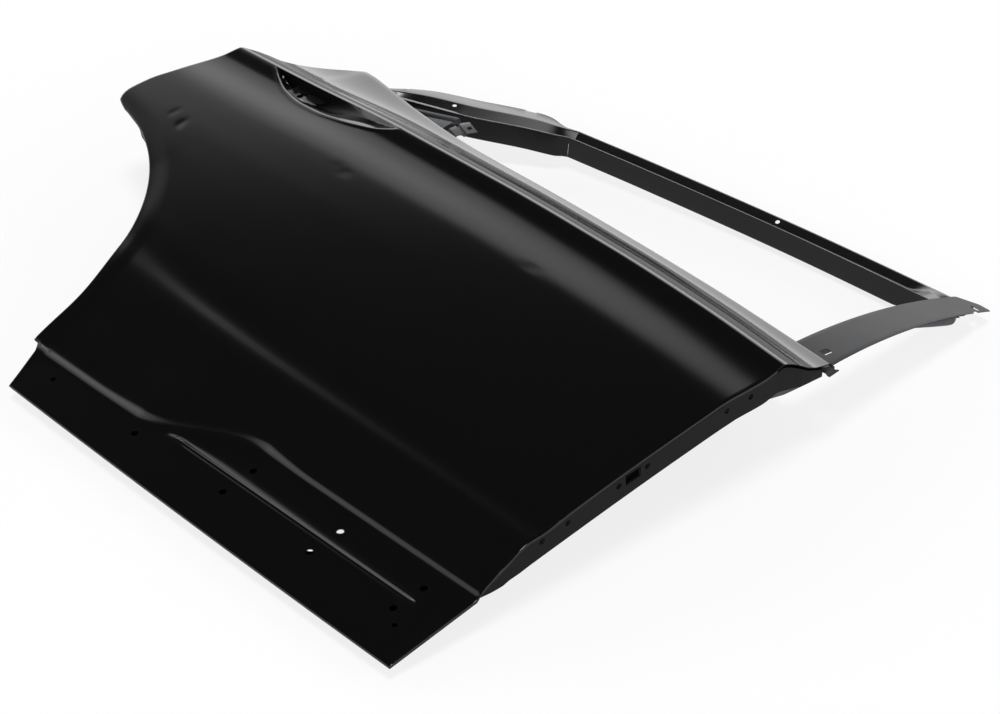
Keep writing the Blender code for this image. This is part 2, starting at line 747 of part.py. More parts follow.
def unfold(ring, chain):
    """Joins the points of an inner chain that would run backwards round a corner."""
    groups = [[k] for k in range(len(ring))]
    places = list(ring)
    k = 0
    while k < len(groups) - 1:
        way = Vector(chain[groups[k + 1][0]]) - Vector(chain[groups[k][-1]])
        step = Vector(places[k + 1][:2]) - Vector(places[k][:2])
        if step.dot(way) > 0.1 * way.length_squared:
            k += 1
            continue
        if outline_distance(places[k + 1], chain) > outline_distance(places[k], chain):
            places[k] = places[k + 1]
        groups[k] += groups.pop(k + 1)
        places.pop(k + 1)
        k = max(k - 1, 0)
    joined = []
    for group, place in zip(groups, places):
        joined += [place] * len(group)
    return joined


def chain_vertices(bm, ring):
    """One vertex for each point of a chain, shared where the chain stands still."""
    vertices = []
    for k, point in enumerate(ring):
        shared = k > 0 and (Vector(point) - Vector(ring[k - 1])).length < 0.01 * MM
        vertices.append(vertices[-1] if shared else bm.verts.new(point))
    return vertices


def without_repeats(vertices):
    return [v for k, v in enumerate(vertices) if k == 0 or v is not vertices[k - 1]]


def make_panel(rows, rings, material):
    """The inner panel: a tray with a stepped floor and its access openings."""
    bm = bmesh.new()
    chains = [chain_vertices(bm, ring) for ring in rings]
    for low, high in zip(chains, chains[1:]):
        for a, b, c, d in zip(low, low[1:], high[1:], high):
            corners = without_repeats([d, a, b, c])
            if len(corners) > 2 and corners[0] is not corners[-1]:
                bm.faces.new(corners)
            elif len(corners) > 3:
                bm.faces.new(corners[:-1])
    inner = chains[3]
    ends = 2 * len(rows) - 1
    front = [k for k in range(ends) if inner[k].co.y >= MAIN_FLOOR_FOOT]
    last_front = front[-1]
    rear = [k for k in range(ends, len(inner)) if inner[k].co.y >= MAIN_FLOOR_FOOT]
    first_rear = rear[0]
    lower_front = next(k for k in range(ends) if inner[k].co.y < LOWER_FLOOR_TOP)
    lower_rear = max(k for k in range(ends, len(inner)) if inner[k].co.y < LOWER_FLOOR_TOP and k < first_rear)
    inner[last_front].co.y = MAIN_FLOOR_FOOT
    inner[first_rear].co.y = MAIN_FLOOR_FOOT
    inner[lower_front].co.y = LOWER_FLOOR_TOP
    inner[lower_rear].co.y = LOWER_FLOOR_TOP
    for k in (last_front, first_rear):
        inner[k].co.z = MAIN_FLOOR
    for k in (lower_front, lower_rear):
        inner[k].co.z = LOWER_FLOOR
    bm.faces.new(without_repeats(inner[lower_front:lower_rear + 1]))
    bm.faces.new(without_repeats(inner[last_front:lower_front + 1] + inner[lower_rear:first_rear + 1]))
    floor_loop = without_repeats(inner[:last_front + 1] + inner[first_rear:])
    belt = []
    steps = 14
    for k in range(1, steps):
        x = mix(inner[-1].co.x, inner[0].co.x, k / steps)
        y = panel_edge(rings, x)
        belt.append(bm.verts.new((x, y, floor_height(y))))
    floor_loop += belt
    edges = []
    for a, b in zip(floor_loop, floor_loop[1:] + floor_loop[:1]):
        edges.append(bm.edges.get((a, b)) or bm.edges.new((a, b)))
    holes = [box_loop(*MODULE_OPENING, CORNER_RADIUS), box_loop(*REAR_OPENING, CORNER_RADIUS)]
    holes.append(round_loop(SPEAKER_CENTRE, SPEAKER_RADIUS, 24))
    holes += [round_loop((x * MM, y * MM), TRIM_HOLE / 2, 8) for x, y in TRIM_HOLES]
    for loop in holes:
        ring = [bm.verts.new((x, y, floor_height(y))) for x, y in loop]
        edges += [bm.edges.new((a, b)) for a, b in zip(ring, ring[1:] + ring[:1])]
    bmesh.ops.triangle_fill(bm, use_beauty=True, use_dissolve=False, edges=edges)
    raised = [bm.verts.new(v.co + Vector((0, PANEL_TOP_INSET, PANEL_TOP_FLANGE))) for v in belt]
    for a, b, c, d in zip(belt, belt[1:], raised[1:], raised):
        bm.faces.new((a, b, c, d))
    bmesh.ops.triangulate(bm, faces=[f for f in bm.faces if len(f.verts) > 4])
    bmesh.ops.recalc_face_normals(bm, faces=bm.faces)
    turn_towards(bm, (0, 0, 1))
    panel = add_object("inner_panel", mesh_of(bm, "inner_panel"), material)
    solidify(panel, PANEL_SHEET)
    shade(panel)
    for k, (x, y) in enumerate(DRAIN_HOLES):
        loop = round_loop((x * MM, y * MM), DRAIN_HOLE / 2, 12)
        punch(panel, loop, LOWER_FLOOR - 8 * MM, LOWER_FLOOR + 8 * MM, f"drain_cutter_{k}")
    return panel


def ring_point(ring, y):
    """Where one side of a chain passes a level."""
    for a, b in zip(ring, ring[1:]):
        if min(a[1], b[1]) <= y <= max(a[1], b[1]) and a[1] != b[1]:
            t = (y - a[1]) / (b[1] - a[1])
            return Vector((mix(a[0], b[0], t), y, mix(a[2], b[2], t)))
    return Vector(ring[0])


def wall_point(walls, y, share, inset):
    """A point on a shut face, share of its depth down and inset behind it."""
    rim, foot, way = walls
    point = ring_point(rim, y).lerp(ring_point(foot, y), share)
    return point + Vector((way * inset, 0, 0))


def shut_walls(rings, count):
    """The rim and foot of the hinge face and of the latch face, and the way into the door."""
    rim, foot = rings[1], rings[2]
    start = len(rim) - count
    return (rim[:count], foot[:count], -1), (rim[start:], foot[start:], 1)


def wall_plate(name, walls, level, size, material):
    """A stiffening plate against a shut face, with its lower edge turned in."""
    inset = 1.5 * CLEARANCE
    way = walls[2]
    rows = []
    for step in range(9):
        y = level + size[0] * (step / 8 - 0.5)
        foot = wall_point(walls, y, 0.84, inset)
        turned = foot + Vector((way * 14 * MM, 0, 3 * MM))
        rows.append([wall_point(walls, y, 0.16, inset), foot, turned])
    return sheet(name, rows, REINFORCEMENT_SHEET, material, (-way, 0, 0))


def make_nut(name, centre, way, material):
    """A round weld nut with its bore, on the inner side of a plate."""
    outer = [(0, a, b) for a, b in round_loop((0, 0), NUT_RADIUS, 12)]
    inner = [(0, a, b) for a, b in round_loop((0, 0), NUT_BORE, 12)]
    bm = bmesh.new()
    rings = []
    for loop, depth in ((outer, 0), (inner, 0), (inner, NUT_LENGTH), (outer, NUT_LENGTH)):
        rings.append([bm.verts.new(Vector(centre) + Vector(p) + Vector((way * depth, 0, 0))) for p in loop])
    for low, high in zip(rings, rings[1:] + rings[:1]):
        for k in range(12):
            m = (k + 1) % 12
            bm.faces.new((low[k], low[m], high[m], high[k]))
    bmesh.ops.recalc_face_normals(bm, faces=bm.faces)
    obj = add_object(name, mesh_of(bm, name), material)
    shade(obj)
    return obj


# The window frame

def frame_height(x, y):
    up = y - FRAME_START
    return -1 * MM - FRAME_LEAN * up - FRAME_CURVE * up * up + FRAME_TAPER * x


def frame_station(x, y, way):
    """Point, outward direction and normal of the frame's surface, for a path that runs along way."""
    slope_x = FRAME_TAPER
    slope_y = -FRAME_LEAN - 2 * FRAME_CURVE * (y - FRAME_START)
    normal = Vector((-slope_x, -slope_y, 1)).normalized()
    tangent = Vector((way[0], way[1], slope_x * way[0] + slope_y * way[1])).normalized()
    outward = tangent.cross(normal).normalized()
    return Vector((x, y, frame_height(x, y))), outward, normal


def path_stations(points):
    stations = []
    for k, (x, y) in enumerate(points):
        before = points[max(k - 1, 0)]
        after = points[min(k + 1, len(points) - 1)]
        stations.append(frame_station(x, y, (after[0] - before[0], after[1] - before[1])))
    return stations


def frame_section(channel, flange, lean):
    """The frame's open section: distance from the lip, and height over the frame's surface."""
    drop = -FRAME_DROP
    return [
        (lean + RETURN_FLANGE, drop - REVEAL_DEPTH - 1 * MM),
        (lean, drop - REVEAL_DEPTH),
        (-1 * MM, drop - 1 * MM),
        (0.0, drop),
        (LIP_WIDTH, drop),
        (LIP_WIDTH + 2 * MM, drop - CHANNEL_DEPTH),
        (channel - 3 * MM, drop - CHANNEL_DEPTH - 1 * MM),
        (channel, drop),
        (channel + flange, drop),
    ]


def sweep(name, stations, sections, thickness, material, side=(0, 0, 1)):
    rows = []
    for (point, outward, normal), profile in zip(stations, sections):
        row = []
        for u, h in profile:
            place = point + outward * u
            row.append(Vector((place.x, place.y, frame_height(place.x, place.y))) + normal * h)
        rows.append(row)
    return sheet(name, rows, thickness, material, side)


def make_frame(material):
    """The header and the rear leg of the window frame, mitred where they meet."""
    lip = Curve(LIP_LINE)
    x_rear = LIP_LINE[0][0] * MM
    x_front = LIP_LINE[-1][0] * MM
    header = []
    for k in range(13):
        x = mix(x_front, x_rear, k / 12)
        header.append((x, lip(x)))
    leg = [(x * MM, y * MM) for x, y, _, _ in REAR_LEG]
    header_stations = path_stations(header)
    leg_stations = path_stations(leg)
    along_header = (Vector(header[-1]) - Vector(header[-2])).normalized()
    along_leg = (Vector(leg[1]) - Vector(leg[0])).normalized()
    way = (along_header + along_leg).normalized()
    widen = 1 / way.dot(along_header)
    point, outward, normal = frame_station(*header[-1], way)
    offset = Vector((*way, 0)) * 2 * CLEARANCE
    header_stations[-1] = (point - offset, outward * widen, normal)
    leg_stations[0] = (point, outward * widen, normal)
    sections = []
    for k in range(13):
        channel = mix(HEADER_CHANNEL[1], HEADER_CHANNEL[0], k / 12)
        sections.append(frame_section(channel, HEADER_FLANGE, REVEAL_LEAN[0]))
    front = sweep("window_frame_header", header_stations, sections, FRAME_SHEET, material)
    sections = []
    for k, (_, _, channel, flange) in enumerate(REAR_LEG):
        lean = REVEAL_LEAN[min(k, 1)]
        sections.append(frame_section(channel * MM, flange * MM, lean))
    rear = sweep("window_frame_rear_leg", leg_stations, sections, FRAME_SHEET, material)
    for frame, (x, y) in ((front, HEADER_HOLE), (rear, LEG_HOLE)):
        height = frame_height(x, y) - CHANNEL_DEPTH
        loop = round_loop((x, y), CHANNEL_HOLE / 2, 10)
        punch(frame, loop, height - 9 * MM, height + 8 * MM, f"{frame.name}_cutter")
    return front, rear


def plate_edges(y):
    rear = PLATE_REAR - PLATE_REAR_LEAN * (y - FRAME_START)
    front = -2 * MM - PLATE_FRONT_LEAN * (y - FRAME_START)
    if y < belt_line(0) + mix(*PLATE_KNEE, 0.5):
        front = PLATE_FOOT_FRONT
    return rear, front


def plate_height(x, y):
    """The plate follows the frame's surface and steps down to pass under the belt edge."""
    return frame_height(x, y) - PLATE_KNEE_DROP * (1 - ease(*PLATE_KNEE, y - belt_line(x)))


def follow_belt(x, y):
    """Moves a level near the belt so that it runs along the belt line."""
    return y + (belt_line(x) - belt_line(0)) * (1 - ease(belt_line(0) + PLATE_KNEE[1], PLATE_TOP, y))


def make_pillar_plate(material):
    """The curved plate that faces the front pillar of the window, with its pointed top."""
    knee = [belt_line(0) + mix(*PLATE_KNEE, share) for share in (0.0, 0.25, 0.6, 1.0)]
    steps = 12
    levels = [PLATE_FOOT] + knee + [mix(knee[-1], PLATE_TOP, k / steps) for k in range(1, steps + 1)]
    rows = []
    for k, y in enumerate(levels):
        rear, front = plate_edges(y)
        row = []
        for s in range(6):
            x = mix(rear, front, s / 5)
            top = mix(PLATE_TOP_CORNER[1], PLATE_TIP[1], max(0.0, (s - 3) / 2))
            lift = (top - PLATE_TOP) * min(1.0, s / 3) * ease(len(levels) - 4, len(levels) - 1, k)
            place = follow_belt(x, y) + lift
            row.append((x, place, plate_height(x, place)))
        rows.append(row)
    plate = sheet("pillar_plate", rows, PLATE_SHEET, material)
    side = PLATE_HOLE_SIDE / 2
    x, y = PLATE_HOLE
    punch(plate, [(x - side, y - side), (x + side, y - side), (x + side, y + side), (x - side, y + side)],
          frame_height(x, y) - 10 * MM, frame_height(x, y) + 10 * MM, "plate_hole_cutter")
    x, y = PLATE_SLOT
    a, b = PLATE_SLOT_SIZE
    punch(plate, box_loop(x - a / 2, x + a / 2, y - b / 2, y + b / 2, b / 2.2),
          frame_height(x, y) - 10 * MM, frame_height(x, y) + 10 * MM, "plate_slot_cutter")
    return plate


def make_run(name, x, levels, depth, material):
    """A length of glass run along Y, open to the rear, on the frame's curved surface."""
    rows = []
    for y in levels:
        top = depth(x, y)
        row = []
        for u, h in ((0, 0), (RUN_WIDTH - 3 * MM, 0), (RUN_WIDTH, -3 * MM), (RUN_WIDTH, 3 * MM - RUN_DEPTH),
                     (RUN_WIDTH - 3 * MM, -RUN_DEPTH), (0, -RUN_DEPTH)):
            row.append((x + u, y, top + h))
        rows.append(row)
    return sheet(name, rows, BRACKET_SHEET, material, (1, 0, 0.01))


def make_runs(material):
    clear = RUN_SINK * (PLATE_SHEET + 3 * CLEARANCE)
    x, low, high = FRONT_RUN
    knee = [belt_line(x) + mix(*PLATE_KNEE, share) + clear for share in (0.0, 0.25, 0.6, 1.0)]
    levels = [mix(low, knee[0], k / 5) for k in range(5)] + knee
    levels += [mix(knee[-1], high, k / 7) for k in range(1, 8)]
    make_run("glass_run_front", x, levels, lambda a, b: plate_height(a, b - clear) - clear, material)
    x, low, high = REAR_RUN
    levels = [mix(low, high, k / 6) for k in range(7)]
    make_run("glass_run_rear", x, levels, lambda a, b: frame_height(a, b) - REAR_RUN_DROP, material)


def make_gusset(material):
    loop = [(x * MM, y * MM, frame_height(x * MM, y * MM) - GUSSET_DROP) for x, y in PILLAR_GUSSET]
    slab("pillar_gusset", loop, BRACKET_SHEET, material)


# Stiffeners inside the door

def belt_height(x):
    return mix(BELT_HEIGHT_REAR, BELT_HEIGHT_FRONT, 1 - x / BELT_REAR[0])


def make_belt_stiffeners(rings, material):
    """The two stiffeners along the belt: one behind the skin, one on the inner panel."""
    steps = 12
    rows = []
    for k in range(steps + 1):
        x = mix(*BELT_OUTER_ENDS, k / steps)
        rows.append([(x, belt_line(x) + a * MM, belt_height(x) + b * MM) for a, b in BELT_SECTION_OUTER])
    sheet("belt_stiffener_outer", rows, BELT_SHEET, material, (0, 0.2, 1))
    rows = []
    lift = CLEARANCE + BELT_SHEET
    for k in range(steps + 1):
        x = mix(*BELT_INNER_ENDS, k / steps)
        edge = panel_edge(rings, x)
        row = []
        for a, b in BELT_SECTION_INNER:
            y = edge + a * MM
            row.append((x, y, floor_height(y) + lift + b * MM))
        rows.append(row)
    sheet("belt_stiffener_inner", rows, BELT_SHEET, material)


def panel_edge(rings, x):
    """The inner panel's upper edge, a steady distance under the belt line."""
    front = rings[3][0]
    rear = rings[3][-1]
    share = (x - rear[0]) / (front[0] - rear[0])
    return belt_line(x) - mix(PANEL_EDGE_REAR, belt_line(front[0]) - front[1], share)


def beam_axis(tree):
    """The two ends of the side impact beam, set below the skin."""
    ends = []
    for x, y in (BEAM_FRONT, BEAM_REAR):
        ends.append(Vector((x, y, height_on(tree, x, y) - BEAM_DEPTH)))
    return ends


def make_beam(tree, material, pad_material):
    """The tube that crosses the door and the two saddles that carry its ends."""
    front, rear = beam_axis(tree)
    along = (rear - front).normalized()
    across = along.cross(Vector((0, 0, 1))).normalized()
    up = across.cross(along)
    bm = bmesh.new()
    rings = []
    for point, radius in ((front, BEAM_RADIUS), (rear, BEAM_RADIUS), (rear, BEAM_BORE), (front, BEAM_BORE)):
        ring = [bm.verts.new(point + across * a + up * b) for a, b in round_loop((0, 0), radius, 20)]
        rings.append(ring)
    for low, high in zip(rings, rings[1:] + rings[:1]):
        for k in range(20):
            m = (k + 1) % 20
            bm.faces.new((low[k], low[m], high[m], high[k]))
    bmesh.ops.recalc_face_normals(bm, faces=bm.faces)
    shade(add_object("impact_beam", mesh_of(bm, "impact_beam"), material))
    radius = BEAM_RADIUS + CLEARANCE
    saddles = (("beam_bracket_front", front, -SADDLE_REACH[0]), ("beam_bracket_rear", rear, -SADDLE_REACH[1]))
    for name, end, reach in saddles:
        inner = SADDLE_LAP if end is front else -SADDLE_LAP
        rows = []
        for place in (reach, inner):
            start = end + along * place
            row = [start - across * (radius + SADDLE_FLANGE)]
            for k in range(9):
                angle = math.pi * (1 + k / 8)
                row.append(start + across * radius * math.cos(angle) + up * radius * math.sin(angle))
            row.append(start + across * (radius + SADDLE_FLANGE))
            rows.append(row)
        sheet(name, rows, BRACKET_SHEET, material, up)
    for k, share in enumerate(PAD_STATIONS):
        centre = front.lerp(rear, share)
        top = []
        bottom = []
        for a, b in ((-1, -1), (1, -1), (1, 1), (-1, 1)):
            place = centre + along * a * PAD_SIZE[0] / 2 + across * b * PAD_SIZE[1] / 2
            top.append(Vector((place.x, place.y, height_on(tree, place.x, place.y) - SKIN_SHEET - PAD_GAP)))
            bottom.append(place + up * (BEAM_RADIUS + CLEARANCE))
        bm = bmesh.new()
        upper = [bm.verts.new(p) for p in top]
        lower = [bm.verts.new(p) for p in bottom]
        bm.faces.new(upper)
        bm.faces.new(list(reversed(lower)))
        for m in range(4):
            n = (m + 1) % 4
            bm.faces.new((lower[m], lower[n], upper[n], upper[m]))
        bmesh.ops.recalc_face_normals(bm, faces=bm.faces)
        name = f"flutter_pad_{k + 1}"
        add_object(name, mesh_of(bm, name), pad_material)


def bolt_points(walls, level, pitch, inset):
    return [wall_point(walls, level + side * pitch / 2, 0.5, inset) for side in (-1, 1)]


def make_fixings(panel, hinge_face, latch_face, material, nut_material):
    """The hinge, check strap and latch plates with their holes and weld nuts."""
    nut_inset = REINFORCEMENT_SHEET + 2 * CLEARANCE + NUT_STANDOFF
    places = (
        ("hinge_plate_upper", HINGE_LEVELS[1], HINGE_PLATE, HINGE_BOLT_PITCH),
        ("hinge_plate_lower", HINGE_LEVELS[0], HINGE_PLATE, HINGE_BOLT_PITCH),
        ("check_strap_plate", CHECK_LEVEL, CHECK_PLATE, CHECK_BOLT_PITCH),
    )
    for name, level, size, pitch in places:
        plate = wall_plate(name, hinge_face, level, size, material)
        points = bolt_points(hinge_face, level, pitch, 0)
        for k, point in enumerate(points):
            for obj in (plate, panel):
                punch_along_x(obj, point, BOLT_HOLE / 2, HINGE_REACH, f"{name}_{obj.name}_bolt_{k}")
        for k, point in enumerate(bolt_points(hinge_face, level, pitch, nut_inset)):
            make_nut(f"{name}_nut_{k + 1}", point, -1, nut_material)
        if name == "check_strap_plate":
            point = wall_point(hinge_face, level, 0.5, 0)
            half = Vector((HINGE_REACH, CHECK_SLOT[0] / 2, CHECK_SLOT[1] / 2))
            for obj in (plate, panel):
                punch_box(obj, point - half, point + half, f"{obj.name}_check_slot")
    plate = wall_plate("latch_plate", latch_face, LATCH_LEVEL, LATCH_PLATE, material)
    point = wall_point(latch_face, LATCH_LEVEL, 0.5, 0)
    half = Vector((LATCH_REACH, LATCH_SLOT[0] / 2, LATCH_SLOT[1] / 2))
    for obj in (plate, panel):
        punch_box(obj, point - half, point + half, f"{obj.name}_latch_slot")
        for k, screw in enumerate(bolt_points(latch_face, LATCH_LEVEL, LATCH_SCREW_PITCH, 0)):
            punch_along_x(obj, screw, LATCH_SCREW_HOLE / 2, LATCH_REACH, f"{obj.name}_latch_screw_{k}")


def make_brackets(tree, material):
    """The handle stiffener, the rear corner brackets and the tab at the front of the belt."""
    loop = []
    for x, y in HANDLE_PLATE:
        loop.append((x * MM, y * MM, CREST_HEIGHT - HANDLE_PLATE_DEPTH))
    slab("handle_stiffener", loop, BRACKET_SHEET, material)
    upper = Curve([(x, y) for x, y in CORNER_BRACKET[:4]])
    low_y = CORNER_BRACKET[-1][1] * MM
    x_rear = CORNER_BRACKET[0][0] * MM
    x_front = CORNER_BRACKET[3][0] * MM
    slant = (CORNER_BRACKET[3][0] - CORNER_BRACKET[4][0]) * MM
    rows = []
    count = 4 * round((x_front - x_rear) / CORNER_RIDGE_PITCH) + 1
    for k in range(5):
        row = []
        for m in range(count + 1):
            x = mix(x_rear, x_front, m / count)
            y = mix(low_y, upper(x), k / 4)
            ridge = CORNER_RIDGE if m % 4 in (2, 3) and k in (2, 3) else 0.0
            row.append((x - slant * (1 - k / 4) * 0.35, y, CORNER_BRACKET_HEIGHT + ridge))
        rows.append(row)
    sheet("corner_bracket", rows, BRACKET_SHEET, material)
    loop = [(x * MM, y * MM, CORNER_TAB_HEIGHT) for x, y in CORNER_TAB]
    tab = slab("corner_tab", loop, BRACKET_SHEET, material)
    x, y = CORNER_TAB_HOLE
    side = CORNER_TAB_HOLE_SIDE / 2
    low = CORNER_TAB_HEIGHT - 8 * MM
    high = CORNER_TAB_HEIGHT + 8 * MM
    punch_box(tab, (x - side, y - side, low), (x + side, y + side, high), "corner_tab_cutter")
    loop = [(x * MM, y * MM, BELT_TAB_HEIGHT) for x, y in BELT_TAB]
    slab("belt_tab", loop, BRACKET_SHEET, material)


# Rest

def lay_down(nodes):
    """Tilts the door until the header's corner and the floor's lower line meet the ground together."""
    bpy.context.view_layer.update()
    graph = bpy.context.evaluated_depsgraph_get()
    points = {}
    for obj in nodes:
        mesh = obj.evaluated_get(graph).to_mesh()
        points[obj.name] = [v.co.copy() for v in mesh.vertices]
    pivot = Vector((MAIN_FLOOR_FOOT, MAIN_FLOOR - PANEL_SHEET))
    header = points["window_frame_header"]
    tilt = max(math.atan2(pivot.y - p.z, p.y - pivot.x) for p in header if p.y > pivot.x)
    everything = [p for group in points.values() for p in group]
    low = Vector((1e9, 1e9, 1e9))
    high = -low
    cosine = math.cos(tilt)
    sine = math.sin(tilt)
    for p in everything:
        turned = (p.x, p.y * cosine - p.z * sine, p.y * sine + p.z * cosine)
        low = Vector(map(min, low, turned))
        high = Vector(map(max, high, turned))
    door = bpy.data.objects.new("door", None)
    bpy.context.scene.collection.objects.link(door)
    door.rotation_euler = (tilt, 0, 0)
    door.location = (-(low.x + high.x) / 2, -(low.y + high.y) / 2, -low.z)
    for obj in bpy.data.objects:
        if obj is not door:
            obj.parent = door


# Assembly

def make_materials():
    return {
        "skin": paint("primed_skin", (0.006, 0.006, 0.007), 0.2),
        "panel": paint("primed_panel", (0.01, 0.01, 0.011), 0.35),
        "frame": paint("primed_frame", (0.012, 0.012, 0.013), 0.3),
        "plate": paint("primed_plate", (0.05, 0.05, 0.055), 0.45),
        "bracket": paint("primed_bracket", (0.03, 0.03, 0.033), 0.45),
        "nut": paint("primed_nut", (0.03, 0.03, 0.03), 0.5),
        "pad": paint("flutter_mastic", (0.1, 0.1, 0.1), 0.9),
    }


def main():
    clear_scene()
    materials = make_materials()
    rows = skin_rows()
    skin, tree = make_skin(rows, materials["skin"])
    rings = panel_rings(rows, tree)
    panel = make_panel(rows, rings, materials["panel"])
    make_frame(materials["frame"])
    make_pillar_plate(materials["plate"])
    make_gusset(materials["bracket"])
    make_runs(materials["bracket"])
    make_belt_stiffeners(rings, materials["bracket"])
    make_beam(tree, materials["bracket"], materials["pad"])
    hinge_face, latch_face = shut_walls(rings, 2 * len(rows) - 1)
    make_fixings(panel, hinge_face, latch_face, materials["bracket"], materials["nut"])
    make_brackets(tree, materials["bracket"])
    lay_down([obj for obj in bpy.data.objects if not obj.hide_render])


main()
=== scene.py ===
"""Finished look of a bare rear car door shell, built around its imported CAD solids.

The door lies on its inner side. In its own axes X points to the front of the car, Y to its roof and Z
out of the car, and sizes in those axes are in millimetres. DoorAxes turns them into the frame's metres.
"""

import json
import logging
import math
from dataclasses import dataclass, field
from enum import Enum
from typing import Callable, Iterable, Sequence

import bmesh
import bpy
import numpy as np
from bpy.types import Material, Node, NodeSocket, NodeTree, Object
from mathutils import Matrix, Vector


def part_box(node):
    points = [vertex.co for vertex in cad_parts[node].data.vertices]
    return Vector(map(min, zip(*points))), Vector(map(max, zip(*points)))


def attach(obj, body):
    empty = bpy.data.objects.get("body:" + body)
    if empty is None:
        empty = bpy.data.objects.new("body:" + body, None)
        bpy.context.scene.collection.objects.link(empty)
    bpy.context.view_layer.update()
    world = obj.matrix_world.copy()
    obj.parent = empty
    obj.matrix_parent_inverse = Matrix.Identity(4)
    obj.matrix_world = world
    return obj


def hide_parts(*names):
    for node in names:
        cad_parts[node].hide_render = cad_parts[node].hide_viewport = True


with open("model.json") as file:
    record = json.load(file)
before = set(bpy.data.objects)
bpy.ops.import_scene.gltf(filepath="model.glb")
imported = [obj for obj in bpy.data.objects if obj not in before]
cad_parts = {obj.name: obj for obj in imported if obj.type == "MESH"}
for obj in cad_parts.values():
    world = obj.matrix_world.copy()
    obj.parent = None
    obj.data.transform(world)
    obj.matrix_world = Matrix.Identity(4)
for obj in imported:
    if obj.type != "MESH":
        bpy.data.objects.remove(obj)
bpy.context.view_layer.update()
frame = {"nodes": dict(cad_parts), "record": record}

log = logging.getLogger("door_shell")

Point = tuple[float, float, float]
Place = tuple[float, float]
Line = Callable[[float], float]
Station = tuple[Vector, Vector, Vector]
Opening = tuple[Place, tuple[float, float, float, float]]

BODY = "root"
SHARPEST_CORNER = 0.62


# Numbers and curves

def mix(a: float, b: float, t: float) -> float:
    """Goes from a to b as t goes from 0 to 1."""
    return a + (b - a) * t


def ease(low: float, high: float, value: float) -> float:
    """Zero below low, one above high, and smooth between them."""
    t = min(max((value - low) / (high - low), 0.0), 1.0)
    return t * t * (3 - 2 * t)


def swell(value: float, reach: float) -> float:
    """A smooth bump: one at zero, and nothing beyond reach."""
    t = min(abs(value) / reach, 1.0)
    return (1 - t * t) ** 2


def even_steps(start: float, end: float, count: int) -> list[float]:
    """Even steps from start to end, without the start itself."""
    return np.linspace(start, end, count + 1)[1:].tolist()


class Curve:
    """A smooth curve through knots that never swings past them."""

    def __init__(self, knots: Iterable[Place]) -> None:
        """Sorts the knots and works out a slope at each.

        Args:
            knots: pairs of place and value.
        """
        ordered = sorted(knots)
        self.x = [a for a, _ in ordered]
        self.y = [b for _, b in ordered]
        steps = [b - a for a, b in zip(self.x, self.x[1:])]
        rises = [(d - c) / h for c, d, h in zip(self.y, self.y[1:], steps)]
        self.slope = [rises[0]]
        for i in range(1, len(rises)):
            if rises[i - 1] * rises[i] <= 0:
                self.slope.append(0.0)
                continue
            before = 2 * steps[i] + steps[i - 1]
            after = steps[i] + 2 * steps[i - 1]
            self.slope.append((before + after) / (before / rises[i - 1] + after / rises[i]))
        self.slope.append(rises[-1])

    def __call__(self, value: float) -> float:
        """Reads the curve, which is held steady beyond its ends.

        Args:
            value: a place.

        Returns:
            The curve's value there.
        """
        x = min(max(value, self.x[0]), self.x[-1])
        i = 0
        while i < len(self.x) - 2 and x > self.x[i + 1]:
            i += 1
        h = self.x[i + 1] - self.x[i]
        t = (x - self.x[i]) / h
        return (
            self.y[i] * (1 + 2 * t) * (1 - t) ** 2
            + h * self.slope[i] * t * (1 - t) ** 2
            + self.y[i + 1] * t * t * (3 - 2 * t)
            + h * self.slope[i + 1] * t * t * (t - 1)
        )


# Placing and meshes

@dataclass(frozen=True)
class DoorAxes:
    """Where the door's own axes lie in the frame: tilted about X, so that it rests on header and panel."""

    tilt_degrees: float = 6.3716542
    origin: Point = (0.5919496, -0.5681434, 0.0196046)

    def matrix(self) -> Matrix:
        """The door's axes in the frame, in metres."""
        return Matrix.Translation(self.origin) @ Matrix.Rotation(math.radians(self.tilt_degrees), 4, "X")

    def to_frame(self, points: Sequence[Point]) -> np.ndarray:
        """Turns millimetres in the door's axes into metres in the frame.

        Args:
            points: places in the door's axes.

        Returns:
            An array of the same places in the frame.
        """
        spots = np.asarray(points, float) / 1000
        turn = np.array(self.matrix().to_3x3())
        return spots @ turn.T + np.array(self.origin)


AXES = DoorAxes()


def place_object(name: str, data: bpy.types.ID) -> Object:
    """Adds an object to the scene, at the origin.

    Args:
        name: the object's name.
        data: its mesh, lamp or camera.

    Returns:
        The new object.
    """
    obj = bpy.data.objects.new(name, data)
    bpy.context.scene.collection.objects.link(obj)
    return obj


def mesh_piece(name: str, points: Sequence[Point], faces: Sequence[Sequence[int]],
               material: Material) -> Object:
    """Makes an object whose place is in its mesh.

    Args:
        name: the piece's name.
        points: vertices in the door's axes, in millimetres.
        faces: vertex numbers of each face.
        material: the finish of the whole piece.

    Returns:
        The new object, at the origin.
    """
    mesh = bpy.data.meshes.new(name)
    mesh.from_pydata(AXES.to_frame(points).tolist(), [], [list(f) for f in faces])
    mesh.materials.append(material)
    return place_object(name, mesh)


def face_out(obj: Object, side: Point) -> None:
    """Turns an open sheet's faces so that most of them look one way.

    Args:
        obj: the open sheet.
        side: that way, in the frame.
    """
    bm = bmesh.new()
    bm.from_mesh(obj.data)
    bmesh.ops.recalc_face_normals(bm, faces=bm.faces)
    total = sum((f.normal * f.calc_area() for f in bm.faces), Vector())
    if total.dot(Vector(side)) < 0:
        bmesh.ops.reverse_faces(bm, faces=bm.faces)
    bm.to_mesh(obj.data)
    bm.free()


def thicken(obj: Object, sheet: float, even: bool = True) -> None:
    """Gives a sheet its thickness, in millimetres, behind its faces.

    Args:
        obj: the open sheet.
        sheet: its thickness.
        even: whether sharp folds keep the full thickness too.
    """
    modifier = obj.modifiers.new("sheet", "SOLIDIFY")
    modifier.thickness = sheet / 1000
    modifier.offset = -1.0
    modifier.use_even_offset = even


